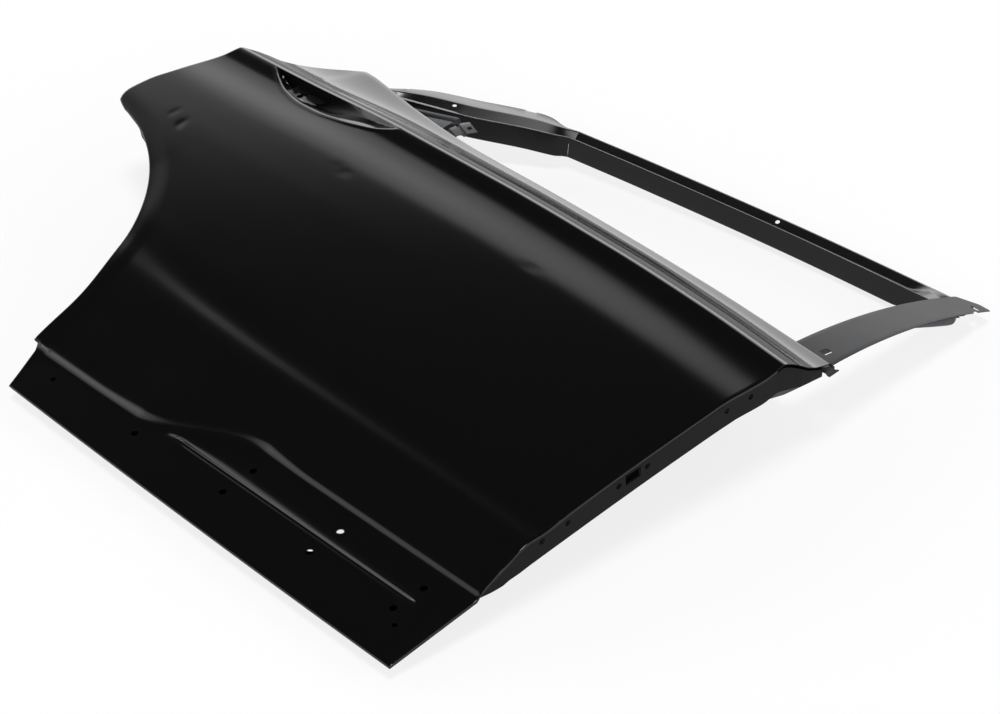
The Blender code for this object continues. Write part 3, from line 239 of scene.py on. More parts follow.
def settle(obj: Object, sharp_degrees: float = 30.0) -> Object:
    """Applies an object's modifiers and shades it smooth between sharp edges.

    Args:
        obj: the piece.
        sharp_degrees: edges that turn by more than this stay sharp.

    Returns:
        The same object, with a plain mesh.
    """
    if obj.modifiers:
        graph = bpy.context.evaluated_depsgraph_get()
        mesh = bpy.data.meshes.new_from_object(obj.evaluated_get(graph))
        obj.modifiers.clear()
        obj.data = mesh
    obj.data.shade_smooth()
    obj.data.set_sharp_from_angle(angle=math.radians(sharp_degrees))
    return obj


def strip_faces(rows: int, columns: int) -> list[tuple[int, int, int, int]]:
    """Numbers the faces of a grid.

    Args:
        rows: how many rows of points it has.
        columns: how many points each row has.

    Returns:
        The four corners of each face.
    """
    faces = []
    for r in range(rows - 1):
        for c in range(columns - 1):
            a = r * columns + c
            faces.append((a, a + 1, a + columns + 1, a + columns))
    return faces


def pressed_sheet(name: str, rows: Sequence[Sequence[Point]], sheet: float, material: Material,
                  side: Point = (0, 0, 1), sharp_degrees: float = 30.0) -> Object:
    """A sheet of even thickness through rows of points.

    Args:
        name: the piece's name.
        rows: rows of points in the door's axes, all of one length.
        sheet: thickness in millimetres.
        material: the finish.
        side: the way that the modelled face looks, in the frame.
        sharp_degrees: edges that turn by more than this stay sharp.

    Returns:
        The finished object.
    """
    points = [p for row in rows for p in row]
    obj = mesh_piece(name, points, strip_faces(len(rows), len(rows[0])), material)
    face_out(obj, side)
    thicken(obj, sheet)
    return settle(obj, sharp_degrees)


@dataclass(frozen=True)
class Hole:
    """A hole with straight walls: a loop in the plan of the door, cut down from a height above it."""

    loop: Sequence[Place]
    top: float
    depth: float

    def add_prism(self, bm: bmesh.types.BMesh) -> None:
        """Adds the solid that the hole takes away.

        Args:
            bm: the mesh that it goes into, in the frame.
        """
        count = len(self.loop)
        points = [(x, y, z) for z in (self.top, self.top - self.depth) for x, y in self.loop]
        corners = [bm.verts.new(p) for p in AXES.to_frame(points).tolist()]
        bm.faces.new(corners[:count])
        bm.faces.new(corners[:count - 1:-1])
        for k in range(count):
            m = (k + 1) % count
            bm.faces.new((corners[k], corners[k + count], corners[m + count], corners[m]))


def punch(piece: Object, holes: Iterable[Hole], sharp_degrees: float = 30.0) -> Object:
    """Cuts holes through a piece.

    Args:
        piece: the piece, with a closed mesh.
        holes: the holes, clear of each other.
        sharp_degrees: edges that turn by more than this stay sharp.

    Returns:
        The same object, cut.
    """
    bm = bmesh.new()
    for hole in holes:
        hole.add_prism(bm)
    bmesh.ops.recalc_face_normals(bm, faces=bm.faces)
    mesh = bpy.data.meshes.new("cutters")
    bm.to_mesh(mesh)
    bm.free()
    tool = place_object("cutters", mesh)
    modifier = piece.modifiers.new("cut", "BOOLEAN")
    modifier.operation = "DIFFERENCE"
    modifier.solver = "MANIFOLD"
    modifier.object = tool
    settle(piece, sharp_degrees)
    bpy.data.objects.remove(tool, do_unlink=True)
    return piece


def round_loop(centre: Place, radius: float, steps: int = 28) -> list[Place]:
    """A circle in the plan of the door."""
    turns = [2 * math.pi * k / steps for k in range(steps)]
    return [(centre[0] + radius * math.cos(a), centre[1] + radius * math.sin(a)) for a in turns]


def slot_loop(centre: Place, length: float, width: float, degrees: float, corner: float) -> list[Place]:
    """A rectangle with round corners, turned in the plan of the door.

    Args:
        centre: its middle.
        length: size along its own first axis.
        width: size across that axis.
        degrees: turn of that axis from X.
        corner: radius of its corners.

    Returns:
        Its points, in order.
    """
    turn = math.radians(degrees)
    points = []
    for quarter, (sx, sy) in enumerate(((1, 1), (-1, 1), (-1, -1), (1, -1))):
        for k in range(6):
            angle = math.radians(90 * quarter + 18 * k)
            a = sx * (length / 2 - corner) + corner * math.cos(angle)
            b = sy * (width / 2 - corner) + corner * math.sin(angle)
            points.append((centre[0] + a * math.cos(turn) - b * math.sin(turn),
                           centre[1] + a * math.sin(turn) + b * math.cos(turn)))
    return points


def inward_normals(chain: Sequence[Place]) -> list[Place]:
    """Finds the way into the door from each point of its outline.

    Args:
        chain: the outline in plan, from the front round to the rear.

    Returns:
        A vector in plan for each point, longer at corners.
    """
    normals = []
    for k, point in enumerate(chain):
        before = chain[max(k - 1, 0)]
        after = chain[min(k + 1, len(chain) - 1)]
        a = Vector((point[0] - before[0], point[1] - before[1]))
        b = Vector((after[0] - point[0], after[1] - point[1]))
        a = a.normalized() if a.length > 0 else b.normalized()
        b = b.normalized() if b.length > 0 else a
        way = (a + b).normalized()
        spread = max(SHARPEST_CORNER, math.sqrt(max(0.0, (1 + a.dot(b)) / 2)))
        normals.append((way.y / spread, -way.x / spread))
    return normals


# Finishes

def linear(colour: str) -> tuple[float, float, float, float]:
    """Turns a colour into what a node takes.

    Args:
        colour: an sRGB hex value.

    Returns:
        The same colour as linear RGBA.
    """
    channels = []
    for k in (1, 3, 5):
        value = int(colour[k:k + 2], 16) / 255
        channels.append(value / 12.92 if value <= 0.04045 else ((value + 0.055) / 1.055) ** 2.4)
    return (*channels, 1.0)


def add_node(tree: NodeTree, kind: str, inputs: dict | None = None, **settings: object) -> Node:
    """Adds a node with its settings, values and links.

    Args:
        tree: the node tree.
        kind: the node's type name.
        inputs: for each input's name or number, a value or another node's output socket.
        **settings: attributes of the node.

    Returns:
        The new node.
    """
    node = tree.nodes.new(kind)
    for name, value in settings.items():
        setattr(node, name, value)
    for name, value in (inputs or {}).items():
        if isinstance(value, NodeSocket):
            tree.links.new(value, node.inputs[name])
        else:
            node.inputs[name].default_value = value
    return node


def new_material(name: str) -> Material:
    """Makes a material with an empty node tree.

    Args:
        name: the material's name.

    Returns:
        The material.
    """
    material = bpy.data.materials.new(name)
    material.use_nodes = True
    material.node_tree.nodes.clear()
    return material


@dataclass(frozen=True)
class DipPrimer:
    """Cathodic dip primer baked on steel: an even black film with a fine orange peel.

    The film is smooth enough to mirror the room softly, and runs a little thinner in broad random patches.
    """

    name: str
    colour: str = "#0c0c0d"
    thin_colour: str = "#111113"
    roughness: float = 0.24
    roughness_spread: float = 0.012
    drift_mm: float = 142.9
    flow_mm: float = 43.5
    peel_mm: float = 3.0
    peel_depth_mm: float = 0.004
    sheen: float = 0.5

    def build(self) -> Material:
        """Builds the material's nodes.

        Returns:
            The material.
        """
        material = new_material(self.name)
        tree = material.node_tree
        place = add_node(tree, "ShaderNodeTexCoord").outputs["Object"]
        drift = add_node(tree, "ShaderNodeTexNoise", {
            "Vector": place, "Scale": 1000 / self.drift_mm, "Detail": 3.0})
        colours = {6: linear(self.colour), 7: linear(self.thin_colour)}
        colour = add_node(tree, "ShaderNodeMix", {0: drift.outputs["Fac"], **colours}, data_type="RGBA")
        flow = add_node(tree, "ShaderNodeTexNoise", {
            "Vector": place, "Scale": 1000 / self.flow_mm, "Detail": 2.0})
        smoothest, roughest = self.roughness - self.roughness_spread, self.roughness + self.roughness_spread
        rough = add_node(tree, "ShaderNodeMapRange", {
            "Value": flow.outputs["Fac"], "From Min": 0.3, "From Max": 0.7, "To Min": smoothest,
            "To Max": roughest})
        peel = add_node(tree, "ShaderNodeTexNoise", {
            "Vector": place, "Scale": 1000 / self.peel_mm, "Detail": 2.0})
        film = add_node(tree, "ShaderNodeBump", {
            "Height": peel.outputs["Fac"], "Strength": 1.0, "Distance": self.peel_depth_mm / 1000})
        shader = add_node(tree, "ShaderNodeBsdfPrincipled", {
            "Base Color": colour.outputs[2], "Roughness": rough.outputs["Result"], "IOR": 1.5,
            "Specular IOR Level": self.sheen, "Normal": film.outputs["Normal"]})
        add_node(tree, "ShaderNodeOutputMaterial", {"Surface": shader.outputs["BSDF"]})
        return material


@dataclass(frozen=True)
class FlutterMastic:
    """Expanded anti-flutter mastic: a dull rubbery filler with fine pores."""

    name: str = "flutter_mastic"
    colour: str = "#4b4b48"
    # Painted shade: the colour of the pores' sunken hollows
    pore_shade_colour: str = "#33332f"
    roughness: float = 0.85
    pore_mm: float = 1.5

    def build(self) -> Material:
        """Builds the material's nodes.

        Returns:
            The material.
        """
        material = new_material(self.name)
        tree = material.node_tree
        place = add_node(tree, "ShaderNodeTexCoord").outputs["Object"]
        pores = add_node(tree, "ShaderNodeTexVoronoi", {"Vector": place, "Scale": 1000 / self.pore_mm})
        # Painted shade: the colour darkens towards each pore's sunken middle
        colours = {6: linear(self.pore_shade_colour), 7: linear(self.colour)}
        colour = add_node(tree, "ShaderNodeMix", {0: pores.outputs["Distance"], **colours}, data_type="RGBA")
        bump = add_node(tree, "ShaderNodeBump", {
            "Height": pores.outputs["Distance"], "Strength": 0.6, "Distance": self.pore_mm / 4000})
        shader = add_node(tree, "ShaderNodeBsdfPrincipled", {
            "Base Color": colour.outputs[2], "Roughness": self.roughness, "Normal": bump.outputs["Normal"]})
        add_node(tree, "ShaderNodeOutputMaterial", {"Surface": shader.outputs["BSDF"]})
        return material


class Slot(Enum):
    """The record's material slots that this door uses."""

    SKIN = "skin"
    PANEL = "panel"
    FRAME = "frame"
    PLATE = "plate"
    BRACKET = "bracket"
    NUT = "nut"
    PAD = "pad"


FINISHES: dict[Slot, DipPrimer | FlutterMastic] = {
    Slot.SKIN: DipPrimer(
        "dip_primed_skin", colour="#0b0b0c", thin_colour="#0c0c0d", roughness=0.115, roughness_spread=0.002),
    Slot.PANEL: DipPrimer(
        "dip_primed_panel", colour="#0e0e0f", thin_colour="#131314", roughness=0.35, sheen=0.12),
    Slot.FRAME: DipPrimer("dip_primed_frame", colour="#101012", thin_colour="#131315", roughness=0.22),
    Slot.PLATE: DipPrimer(
        "dip_primed_plate", colour="#1e1f22", thin_colour="#242528", roughness=0.42, sheen=0.2),
    Slot.BRACKET: DipPrimer("dip_primed_bracket", colour="#2a2a2c", thin_colour="#323234", roughness=0.36),
    Slot.NUT: DipPrimer("dip_primed_nut", colour="#1b1b1c", thin_colour="#232325", roughness=0.45),
    Slot.PAD: FlutterMastic(),
}
# These sheets look paler than the rest: painted light, paler primer colours that stand in for the light they
# catch
PALE_PAINTED_LIGHT_FINISH = DipPrimer("dip_primed_painted_light", colour="#707176", thin_colour="#7c7d82", roughness=0.4)
# Painted light: the corner brackets get a lighter primer colour that stands in for the light their lips and
# flanges catch
CORNER_PAINTED_LIGHT_FINISH = DipPrimer("dip_primed_corner_painted_light", colour="#3a3b3f", thin_colour="#434448", roughness=0.4)


def hand_over(piece: Object, slot: Slot, *nodes: str) -> Object:
    """Fixes a finished piece to the door's body, in place of its CAD nodes.

    Args:
        piece: the finished piece.
        slot: its slot in the record; not used.
        *nodes: the CAD nodes that it stands for.

    Returns:
        The same piece.
    """
    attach(piece, BODY)
    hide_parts(*nodes)
    return piece


# The skin

@dataclass
class SkinShape:
    """The pressed surface of the skin: its outline in plan and its height over the plan.

    It starts from the driving sizes of the CAD solid. Its step is gentler and its crown fuller, and dents and
    softer corners are added.
    """

    sheet: float = 0.9
    bottom_rear: Place = (-794, 10)
    arch_foot: Place = (-829, 86)
    arch_centre: Place = (-1222, 60)
    arch_radii: Place = (385, 433)
    arch_top: float = 487
    rear_knots: tuple[Place, ...] = ((500, -1184), (525, -1192.4), (560, -1190), (600, -1179), (650, -1170))
    crest_rear: Place = (-1158, 709)
    belt_rear: Place = (-1029, 852)
    belt_knots: tuple[Place, ...] = ((-1041, 838), (-1026, 845), (-1008, 844), (-982, 840), (-888, 824),
                                     (-729, 808), (-554, 804), (-260, 790), (0, 767))
    crest_knots: tuple[Place, ...] = ((-1158, 709), (-1000, 713), (-800, 721), (-600, 721), (-361, 714),
                                      (-177, 701), (0, 681))
    zone_slope: float = 0.07
    zone_start: float = -20
    foot_lead: float = 14
    foot_heights: Place = (76, 141)
    wave: Place = (-600, -410)
    step_rises: tuple[float, float, float] = (9, 15, 7)
    step_run: float = 1.55
    crest_height: float = 52.4
    crease_knots: tuple[Place, ...] = (
        (-1000, 292), (-817, 262), (-654, 248), (-495, 242), (-200, 237), (0, 232))
    crease_drop: float = 9.0
    # Over the crease: how far up the dip lies and how full it is, then the knot's lift and its fall in a full dip
    crease_dip: Place = (24, 1.0)
    crease_lift: Place = (0.6, 1.6)
    flank_knot: Place = (0.5, 0.55)
    crown_level: float = 238
    crown_blend: Place = (60, 320)
    crown_drops: tuple[Place, ...] = ((75, 5.2), (145, 1.2), (228, -1.6), (300, -3.2))
    crown_peak: Place = (118, 3.8)
    valley: Place = (31, 2.4)
    shoulder_drops: tuple[Place, ...] = ((12, 5.5), (28, 16.5), (46, 31))
    shoulder_knot: Place = (0.45, 0.58)
    least_shoulder: float = 60
    belt_heights: Place = (-5, 5)
    rib_level: float = 88
    rib_half_width: float = 6
    rib_proud: float = 2.6
    rib_ends: Place = (-548, -52)
    scoop_knots: tuple[Place, ...] = ((-1072, 0), (-1053, 15), (-1009, 36), (-966, 45), (-932, 46),
                                      (-887, 40), (-848, 30), (-830, 24), (-812, 13), (-802, 0))
    scoop_depth: float = 28
    scoop_wall: float = 0.14
    scoop_full_width: float = 30
    scoop_fade: tuple[float, float, float] = (-985, -850, 0.7)
    row_band: float = 30
    rim_bead_size: Place = (0.8, 5.5)
    roll_size: Place = (0.8, 32)
    roll_levels: Place = (230, 420)
    edge_lift: tuple[float, float, float] = (1.0, 10, 34)
    dip_fade: Place = (-1010, -640)
    dents: tuple[tuple[float, float, float, float, float], ...] = (
        (-777, 593, 22, 3.4, 0.6), (-394, 607, 34, 3.4, 0.5),
        (-1055, 515, 9, 7, 0.5), (-1087, 527, 7, 4, 0.35))
    sections: dict[float, Curve] = field(default_factory=dict)

    def __post_init__(self) -> None:
        """Makes the curves that the other methods read."""
        self.belt_line = Curve(self.belt_knots)
        self.crest_line = Curve(self.crest_knots)
        self.scoop_arc = Curve(self.scoop_knots)
        self.crease_line = Curve(self.crease_knots)
        start = self.arch_centre[0] + self.arch_radii[0] * math.sqrt(
            1 - ((self.arch_top - self.arch_centre[1]) / self.arch_radii[1]) ** 2)
        self.rear_edge = Curve([(self.arch_top, start), *self.rear_knots, self.crest_rear[::-1]])

    def bottom_line(self, x: float) -> float:
        """Level of the bottom edge."""
        return self.bottom_rear[1] * (x / self.bottom_rear[0]) ** 2

    def foot_line(self, x: float) -> float:
        """Level of the foot of the step, with its wave."""
        return mix(*self.foot_heights, ease(*self.wave, x))

    def step_rise(self, x: float) -> float:
        """Works out the height of the step.

        Args:
            x: place along the door.

        Returns:
            The height from its foot to its top.
        """
        rear, middle_rise, front = self.step_rises
        middle = sum(self.wave) / 2
        reach = self.wave[1] - self.wave[0]
        if x > middle:
            return mix(middle_rise, front, ease(middle, middle + reach, x))
        return mix(rear, middle_rise, ease(middle - reach, middle, x))

    def top_line(self, x: float) -> float:
        """Level of the top of the step."""
        return self.foot_line(x) + self.step_run * self.step_rise(x)

    def ledge_line(self, x: float) -> float:
        """Level of the lower end of the shoulder."""
        return self.crest_line(x) + self.shoulder_drops[-1][0]

    def rear_x(self, y: float) -> float:
        """Follows the rear outline, with the wheel arch.

        Args:
            y: the level.

        Returns:
            Where the outline is at that level.
        """
        if y <= self.arch_foot[1]:
            t = (y - self.bottom_rear[1]) / (self.arch_foot[1] - self.bottom_rear[1])
            return mix(self.bottom_rear[0], self.arch_foot[0], t)
        if y <= self.arch_top:
            share = (y - self.arch_centre[1]) / self.arch_radii[1]
            arch = self.arch_centre[0] + self.arch_radii[0] * math.sqrt(1 - share * share)
            return min(arch, self.arch_foot[0])
        if y <= self.crest_rear[1]:
            return self.rear_edge(y)
        t = (y - self.crest_rear[1]) / (self.belt_rear[1] - self.crest_rear[1])
        return mix(self.crest_rear[0], self.belt_rear[0], t)

    def section(self, x: float) -> Curve:
        """Gives the section at one place, and keeps it for the next call.

        Args:
            x: place along the door.

        Returns:
            The skin's height as a curve over the level.
        """
        key = round(x, 1)
        if key not in self.sections:
            self.sections[key] = self.make_section(key)
        return self.sections[key]

    def make_section(self, x: float) -> Curve:
        """Builds a section from the step, the crown, the crest and the shoulder.

        Args:
            x: place along the door.

        Returns:
            The skin's height as a curve over the level.
        """
        foot, top = self.foot_line(x), self.top_line(x)
        crest, crest_height = self.crest_line(x), self.crest_height
        belt = max(self.belt_line(x), crest + self.least_shoulder)
        foot_height = self.zone_slope * foot
        top_height = foot_height + self.step_rise(x)
        belt_height = mix(*self.belt_heights, 1 - x / self.belt_rear[0])
        crease, crease_height = self.crease_line(x), crest_height - self.crease_drop
        ledge, ledge_height = self.ledge_line(x), crest_height - self.shoulder_drops[-1][1]
        lead = self.foot_lead
        knots = [(self.zone_start, self.zone_start * self.zone_slope)]
        knots += [(foot - lead, foot_height - lead * self.zone_slope), (foot, foot_height)]
        level, share = self.flank_knot
        knots += [(top, top_height), (mix(top, crease, level), mix(top_height, crease_height, share))]
        lift, fall = self.crease_lift
        dip = fall * (self.crease_dip[1] * ease(*self.dip_fade, x))
        knots += [(crease, crease_height), (crease + self.crease_dip[0], crease_height + lift - dip)]
        for up, drop in self.crown_drops:
            level = mix(crease + up, self.crown_level + up, ease(*self.crown_blend, up))
            knots.append((level, crest_height - drop))
        knots += [(crest - self.crown_peak[0], crest_height + self.crown_peak[1])]
        knots += [(crest - self.valley[0], crest_height - self.valley[1]), (crest, crest_height)]
        knots += [(crest + up, crest_height - drop) for up, drop in self.shoulder_drops]
        level, share = self.shoulder_knot
        knots += [(mix(ledge, belt, level), mix(ledge_height, belt_height, share)), (belt, belt_height)]
        return Curve(knots)

    def scoop(self, x: float, y: float) -> float:
        """Works out how far the handle scoop sinks below the skin.

        Args:
            x: place along the door.
            y: level.

        Returns:
            The depth, zero outside the scoop.
        """
        width = self.scoop_arc(x)
        below = self.crest_line(x) - y
        if width < 1 or below <= 0 or below >= width:
            return 0.0
        share = below / width
        start, end, loss = self.scoop_fade
        depth = self.scoop_depth * min(1.0, width / self.scoop_full_width) * (1 - loss * ease(start, end, x))
        if share < self.scoop_wall:
            return depth * share / self.scoop_wall
        fall = (1 - share) / (1 - self.scoop_wall)
        return depth * mix(fall ** 1.6, fall * fall * (3 - 2 * fall), 0.4)

    def rim_bead(self, x: float, y: float) -> float:
        """Works out the soft bead along the lower rim of the scoop.

        Args:
            x: place along the door.
            y: level.

        Returns:
            Its height over the skin.
        """
        width = self.scoop_arc(x)
        rise, reach = self.rim_bead_size
        return rise * min(1.0, width / 20) * swell(self.crest_line(x) - y - width, reach)

    def rib(self, x: float, y: float) -> float:
        """Works out the long rib of the lower zone.

        Args:
            x: place along the door.
            y: level.

        Returns:
            Its height over the skin.
        """
        rear, front = self.rib_ends
        ends = ease(rear, rear + 30, x) * (1 - ease(front - 8, front, x))
        return self.rib_proud * ends * swell(y - self.rib_level, self.rib_half_width)

    def dent(self, x: float, y: float) -> float:
        """Adds up the dents that the photograph shows.

        Args:
            x: place along the door.
            y: level.

        Returns:
            Their depth there.
        """
        total = 0.0
        for cx, cy, along, across, depth in self.dents:
            dx, dy = x - cx, y - cy
            if abs(dx) < 1.6 * along and abs(dy) < 5 * across:
                total += depth * math.exp(-((dx / along) ** 2 * 2 + ((dy + 0.15 * dx) / across) ** 2))
        return total

    def arch_roll(self, x: float, y: float) -> float:
        """Bends the skin next to the wheel arch: down at its upper part, and a little up at its lower part.

        Args:
            x: place along the door.
            y: level.

        Returns:
            The fall there.
        """
        dx, dy = x - self.arch_centre[0], y - self.arch_centre[1]
        share = math.hypot(dx / self.arch_radii[0], dy / self.arch_radii[1])
        fall, reach = self.roll_size
        gap = max(0.0, share - 1) * math.hypot(dx, dy) / max(share, 0.1)
        lift, start, end = self.edge_lift
        rolled = fall * (1 - ease(0, reach, gap)) * ease(*self.roll_levels, y)
        return rolled - lift * (1 - ease(start, end, gap)) * (1 - ease(*self.roll_levels, y))

    def height(self, x: float, y: float) -> float:
        """Height of the outer face."""
        raised = self.section(x)(y) + self.rib(x, y) + self.rim_bead(x, y)
        return raised - self.arch_roll(x, y) - self.scoop(x, y) - self.dent(x, y)


@dataclass
class OuterSkin:
    """The outer skin: a fine grid over the pressed surface, folded round its edges as a hem."""

    shape: SkinShape
    columns: int = 214
    edge_radius: float = 1.2
    hem_depth: float = 3.7
    hem_return: float = 9.0
    belt_flange: float = 12.0
    clip_hole: float = 10.0
    clip_holes: tuple[Place, ...] = (
        (-578, 60), (-396, 114), (-397, 64), (-222, 113), (-225, 65), (-66, 114), (-70, 68))
    small_hole: float = 7.0
    small_holes: tuple[Place, ...] = ((-755, 56), (-47, 50))
    scoop_cut: Place = (-1044, -966)
    scoop_cut_band: Place = (0.12, 0.87)
    scoop_cut_steps: int = 16
    crest_strip: float = 1.3
    zone_rows: int = 13
    rib_rows: int = 8
    above_rib: tuple[float, ...] = (0.3, 0.6, 0.85, 1.0)
    patch_rows: tuple[int, int, int] = (6, 16, 60)
    strip_rows: tuple[int, int, int] = (3, 14, 5)
    shoulder_rows: int = 16
    belt_rows: int = 10
    sharp_degrees: float = 32
    hem_ends: Place = (12, 8)
    rear_spacing: Place = (0.62, 1.38)
    rear_steps: int = 120

    def rear_end(self, line: Line) -> float:
        """Finds where a line across the door meets the rear outline.

        Args:
            line: the line's level as a function of x.

        Returns:
            The place along the door.
        """
        x = self.shape.bottom_rear[0]
        for _ in range(60):
            x = mix(x, self.shape.rear_x(line(x)), 0.5)
        return x

    def rear_levels(self, low: float, high: float, count: int) -> list[float]:
        """Spaces levels evenly along the rear outline.

        Args:
            low: the first level.
            high: the last level.
            count: how many steps lie between them.

        Returns:
            The levels.
        """
        samples = [mix(low, high, k / 600) for k in range(601)]
        run = [0.0]
        for a, b in zip(samples, samples[1:]):
            run.append(run[-1] + math.hypot(self.shape.rear_x(b) - self.shape.rear_x(a), b - a))
        return [float(v) for v in np.interp(np.linspace(0, run[-1], count + 1), run, samples)]

    def patch(self, low: Line, high: Line, shares: Iterable[float]) -> list[list[Place]]:
        """Rows between two lines across the door, bent to end evenly on the rear outline.

        Args:
            low: the lower line, as a function of x.
            high: the upper line.
            shares: how far up from low to high each row is.

        Returns:
            The rows, each from the rear to the front.
        """
        x_low, x_high = self.rear_end(low), self.rear_end(high)
        levels = self.rear_levels(low(x_low), high(x_high), self.rear_steps)
        rows = []
        for share in shares:
            rear_y = float(np.interp(share * self.rear_steps, range(self.rear_steps + 1), levels))
            rear = (self.shape.rear_x(rear_y), rear_y)
            pull = (rear[0] - mix(x_low, x_high, share), rear[1] - mix(low(x_low), high(x_high), share))
            row = []
            for s in self.stations():
                a, b = x_low * (1 - s), x_high * (1 - s)
                weight = (1 - s) ** 2
                x, y = mix(a, b, share), mix(low(a), high(b), share)
                row.append((x + weight * pull[0], y + weight * pull[1]))
            rows.append(row)
        return rows

    def line_row(self, line: Line) -> list[Place]:
        """One row along a line across the door."""
        x = self.rear_end(line)
        return [(x * (1 - s), line(x * (1 - s))) for s in self.stations()]

    def stations(self) -> list[float]:
        """Spaces the columns, closer together at the rear.

        Returns:
            Shares of the way from the rear to the front.
        """
        steps = [mix(*self.rear_spacing, ease(0.25, 0.75, k / self.columns)) for k in range(self.columns)]
        run = np.concatenate(([0.0], np.cumsum(steps)))
        return (run / run[-1]).tolist()

    def zone_line(self, level: float) -> Line:
        """Bends a line of the lower zone down with the step's wave.

        Args:
            level: where the line would be without the wave.

        Returns:
            The line's level as a function of x.
        """
        shape = self.shape
        room = shape.rib_level + 20
        low = 1 - level / shape.foot_heights[0]
        return lambda x: level * min(1.0, shape.foot_line(x) / room) + shape.bottom_line(x) * low

    def crest_offset(self, share: float) -> Line:
        """A line under the crest, by a share of the width of the scoop's strip."""
        shape = self.shape
        return lambda x: shape.crest_line(x) - share * max(shape.scoop_arc(x), shape.row_band)

    def between(self, low: Line, high: Line, shares: Iterable[float]) -> list[list[Place]]:
        """Rows straight across the door, at shares of the way from one line up to another."""
        return [self.line_row(lambda x, t=t: mix(low(x), high(x), t)) for t in shares]

    def rows(self) -> list[list[Place]]:
        """Lays the grid's rows, bottom to belt.

        Returns:
            Plan positions, row by row.
        """
        shape = self.shape
        rib_foot = self.zone_line(shape.rib_level - shape.rib_half_width)
        rib_top = self.zone_line(shape.rib_level + shape.rib_half_width)
        rows = [self.line_row(shape.bottom_line)]
        rows += self.between(shape.bottom_line, rib_foot, even_steps(0, 1, self.zone_rows))
        rows += self.between(rib_foot, rib_top, even_steps(0, 1, self.rib_rows))
        rows += self.between(rib_top, shape.foot_line, self.above_rib)
        strip_foot = self.crest_offset(self.crest_strip)
        lines = (shape.foot_line, shape.top_line, shape.crease_line, strip_foot)
        for low, high, count in zip(lines, lines[1:], self.patch_rows):
            rows += self.patch(low, high, even_steps(0, 1, count))
        bands = (self.crest_strip, 1.0, shape.scoop_wall, 0.0)
        for start, end, count in zip(bands, bands[1:], self.strip_rows):
            rows += [self.line_row(self.crest_offset(s)) for s in even_steps(start, end, count)]
        for rise in even_steps(0, shape.shoulder_drops[-1][0], self.shoulder_rows):
            rows.append(self.line_row(lambda x, d=rise: shape.crest_line(x) + d))
        rows += self.patch(shape.ledge_line, shape.belt_line, even_steps(0, 1, self.belt_rows))
        return rows

    def folded(self, rows: list[list[Place]]) -> tuple[list[Point], list[Sequence[int]]]:
        """Sets the grid on the pressed surface and turns its edges over.

        Args:
            rows: the plan positions.

        Returns:
            Points and faces of the skin's outer face.
        """
        radius = self.edge_radius
        count, top = len(rows[0]), len(rows) - 1
        keys = [(r, count - 1) for r in range(top, -1, -1)]
        keys += [(0, c) for c in range(count - 2, 0, -1)]
        keys += [(r, 0) for r in range(top + 1)]
        edge = [rows[r][c] for r, c in keys]
        normals = inward_normals(edge)
        places = {(r, c): rows[r][c] for r in range(top + 1) for c in range(count)}
        for key, (x, y), (nx, ny) in zip(keys, edge, normals):
            places[key] = (x + nx * radius, y + ny * radius)
        for c in range(count):
            x, y = places[(top, c)]
            places[(top, c)] = (x, y - radius)
        points = [(x, y, self.shape.height(x, y)) for x, y in places.values()]
        faces: list[Sequence[int]] = list(strip_faces(top + 1, count))
        self.add_hem(points, faces, edge, normals, [r * count + c for r, c in keys])
        self.add_belt_flange(points, faces, [top * count + c for c in range(2, count - 2)])
        return points, faces

    def add_hem(self, points: list[Point], faces: list[Sequence[int]], edge: Sequence[Place],
                normals: Sequence[Place], rim: Sequence[int]) -> None:
        """Folds the edge to the back, from the crest's front end down and round to its rear end.

        Args:
            points: the skin's points, which grow by the hem's.
            faces: its faces, which grow too.
            edge: the outline in plan.
            normals: the way into the door at each point of the outline.
            rim: the number of the grid's point at each point of the outline.
        """
        shape, radius, depth = self.shape, self.edge_radius, self.hem_depth
        profile = [(radius * (1 - math.sin(a)), radius * (1 - math.cos(a)))
                   for a in np.radians((30, 60, 90))]
        profile += [(radius * (1 - math.sin(a)), depth - radius * (1 + math.cos(a)))
                    for a in np.radians((90, 130, 180))]
        profile.append((self.hem_return, depth))
        first = next(k for k, (x, y) in enumerate(edge) if y < shape.crest_line(x) - self.hem_ends[0])
        rear_top = shape.crest_rear[1] + self.hem_ends[1]
        spare = next(k for k, (x, y) in enumerate(reversed(edge)) if y < rear_top)
        span = range(first, len(edge) - spare)
        near = [rim[k] for k in span]
        for inset, drop in profile:
            far = []
            for k in span:
                (x, y), (nx, ny) = edge[k], normals[k]
                base = max(inset, radius)
                height = shape.height(x + nx * base, y + ny * base)
                far.append(len(points))
                points.append((x + nx * inset, y + ny * inset, height - drop))
            faces += [(a, b, d, c) for a, b, c, d in zip(near, near[1:], far, far[1:])]
            near = far

    def add_belt_flange(self, points: list[Point], faces: list[Sequence[int]], belt: Sequence[int]) -> None:
        """Bends the belt edge down.

        Args:
            points: the skin's points, which grow by the flange's.
            faces: its faces, which grow too.
            belt: numbers of the points along the belt.
        """
        radius = self.edge_radius
        near = belt
        for inset, drop in ((-0.6 * radius, 0.4 * radius), (-radius, radius), (-radius, self.belt_flange)):
            far = []
            for number in belt:
                x, y, z = points[number]
                far.append(len(points))
                points.append((x, y - inset, z - drop))
            faces += [(a, b, d, c) for a, b, c, d in zip(near, near[1:], far, far[1:])]
            near = far

    def scoop_opening(self) -> Hole:
        """Draws the opening in the scoop, blunt at both ends.

        Returns:
            The hole.
        """
        shape, steps = self.shape, self.scoop_cut_steps
        low, high = self.scoop_cut_band
        rim: list[Place] = []
        for way, band in ((1, high), (-1, low)):
            for k in range(steps + 1)[::way]:
                x = mix(*self.scoop_cut, k / steps)
                bulge = math.sqrt(max(0.0, 1 - (2 * k / steps - 1) ** 4))
                y = shape.crest_line(x) - mix((low + high) / 2, band, bulge) * shape.scoop_arc(x)
                if not rim or math.dist((x, y), rim[-1]) > 0.05:
                    rim.append((x, y))
        if math.dist(rim[0], rim[-1]) < 0.05:
            rim.pop()
        return Hole(rim, shape.crest_height + 20, 60)

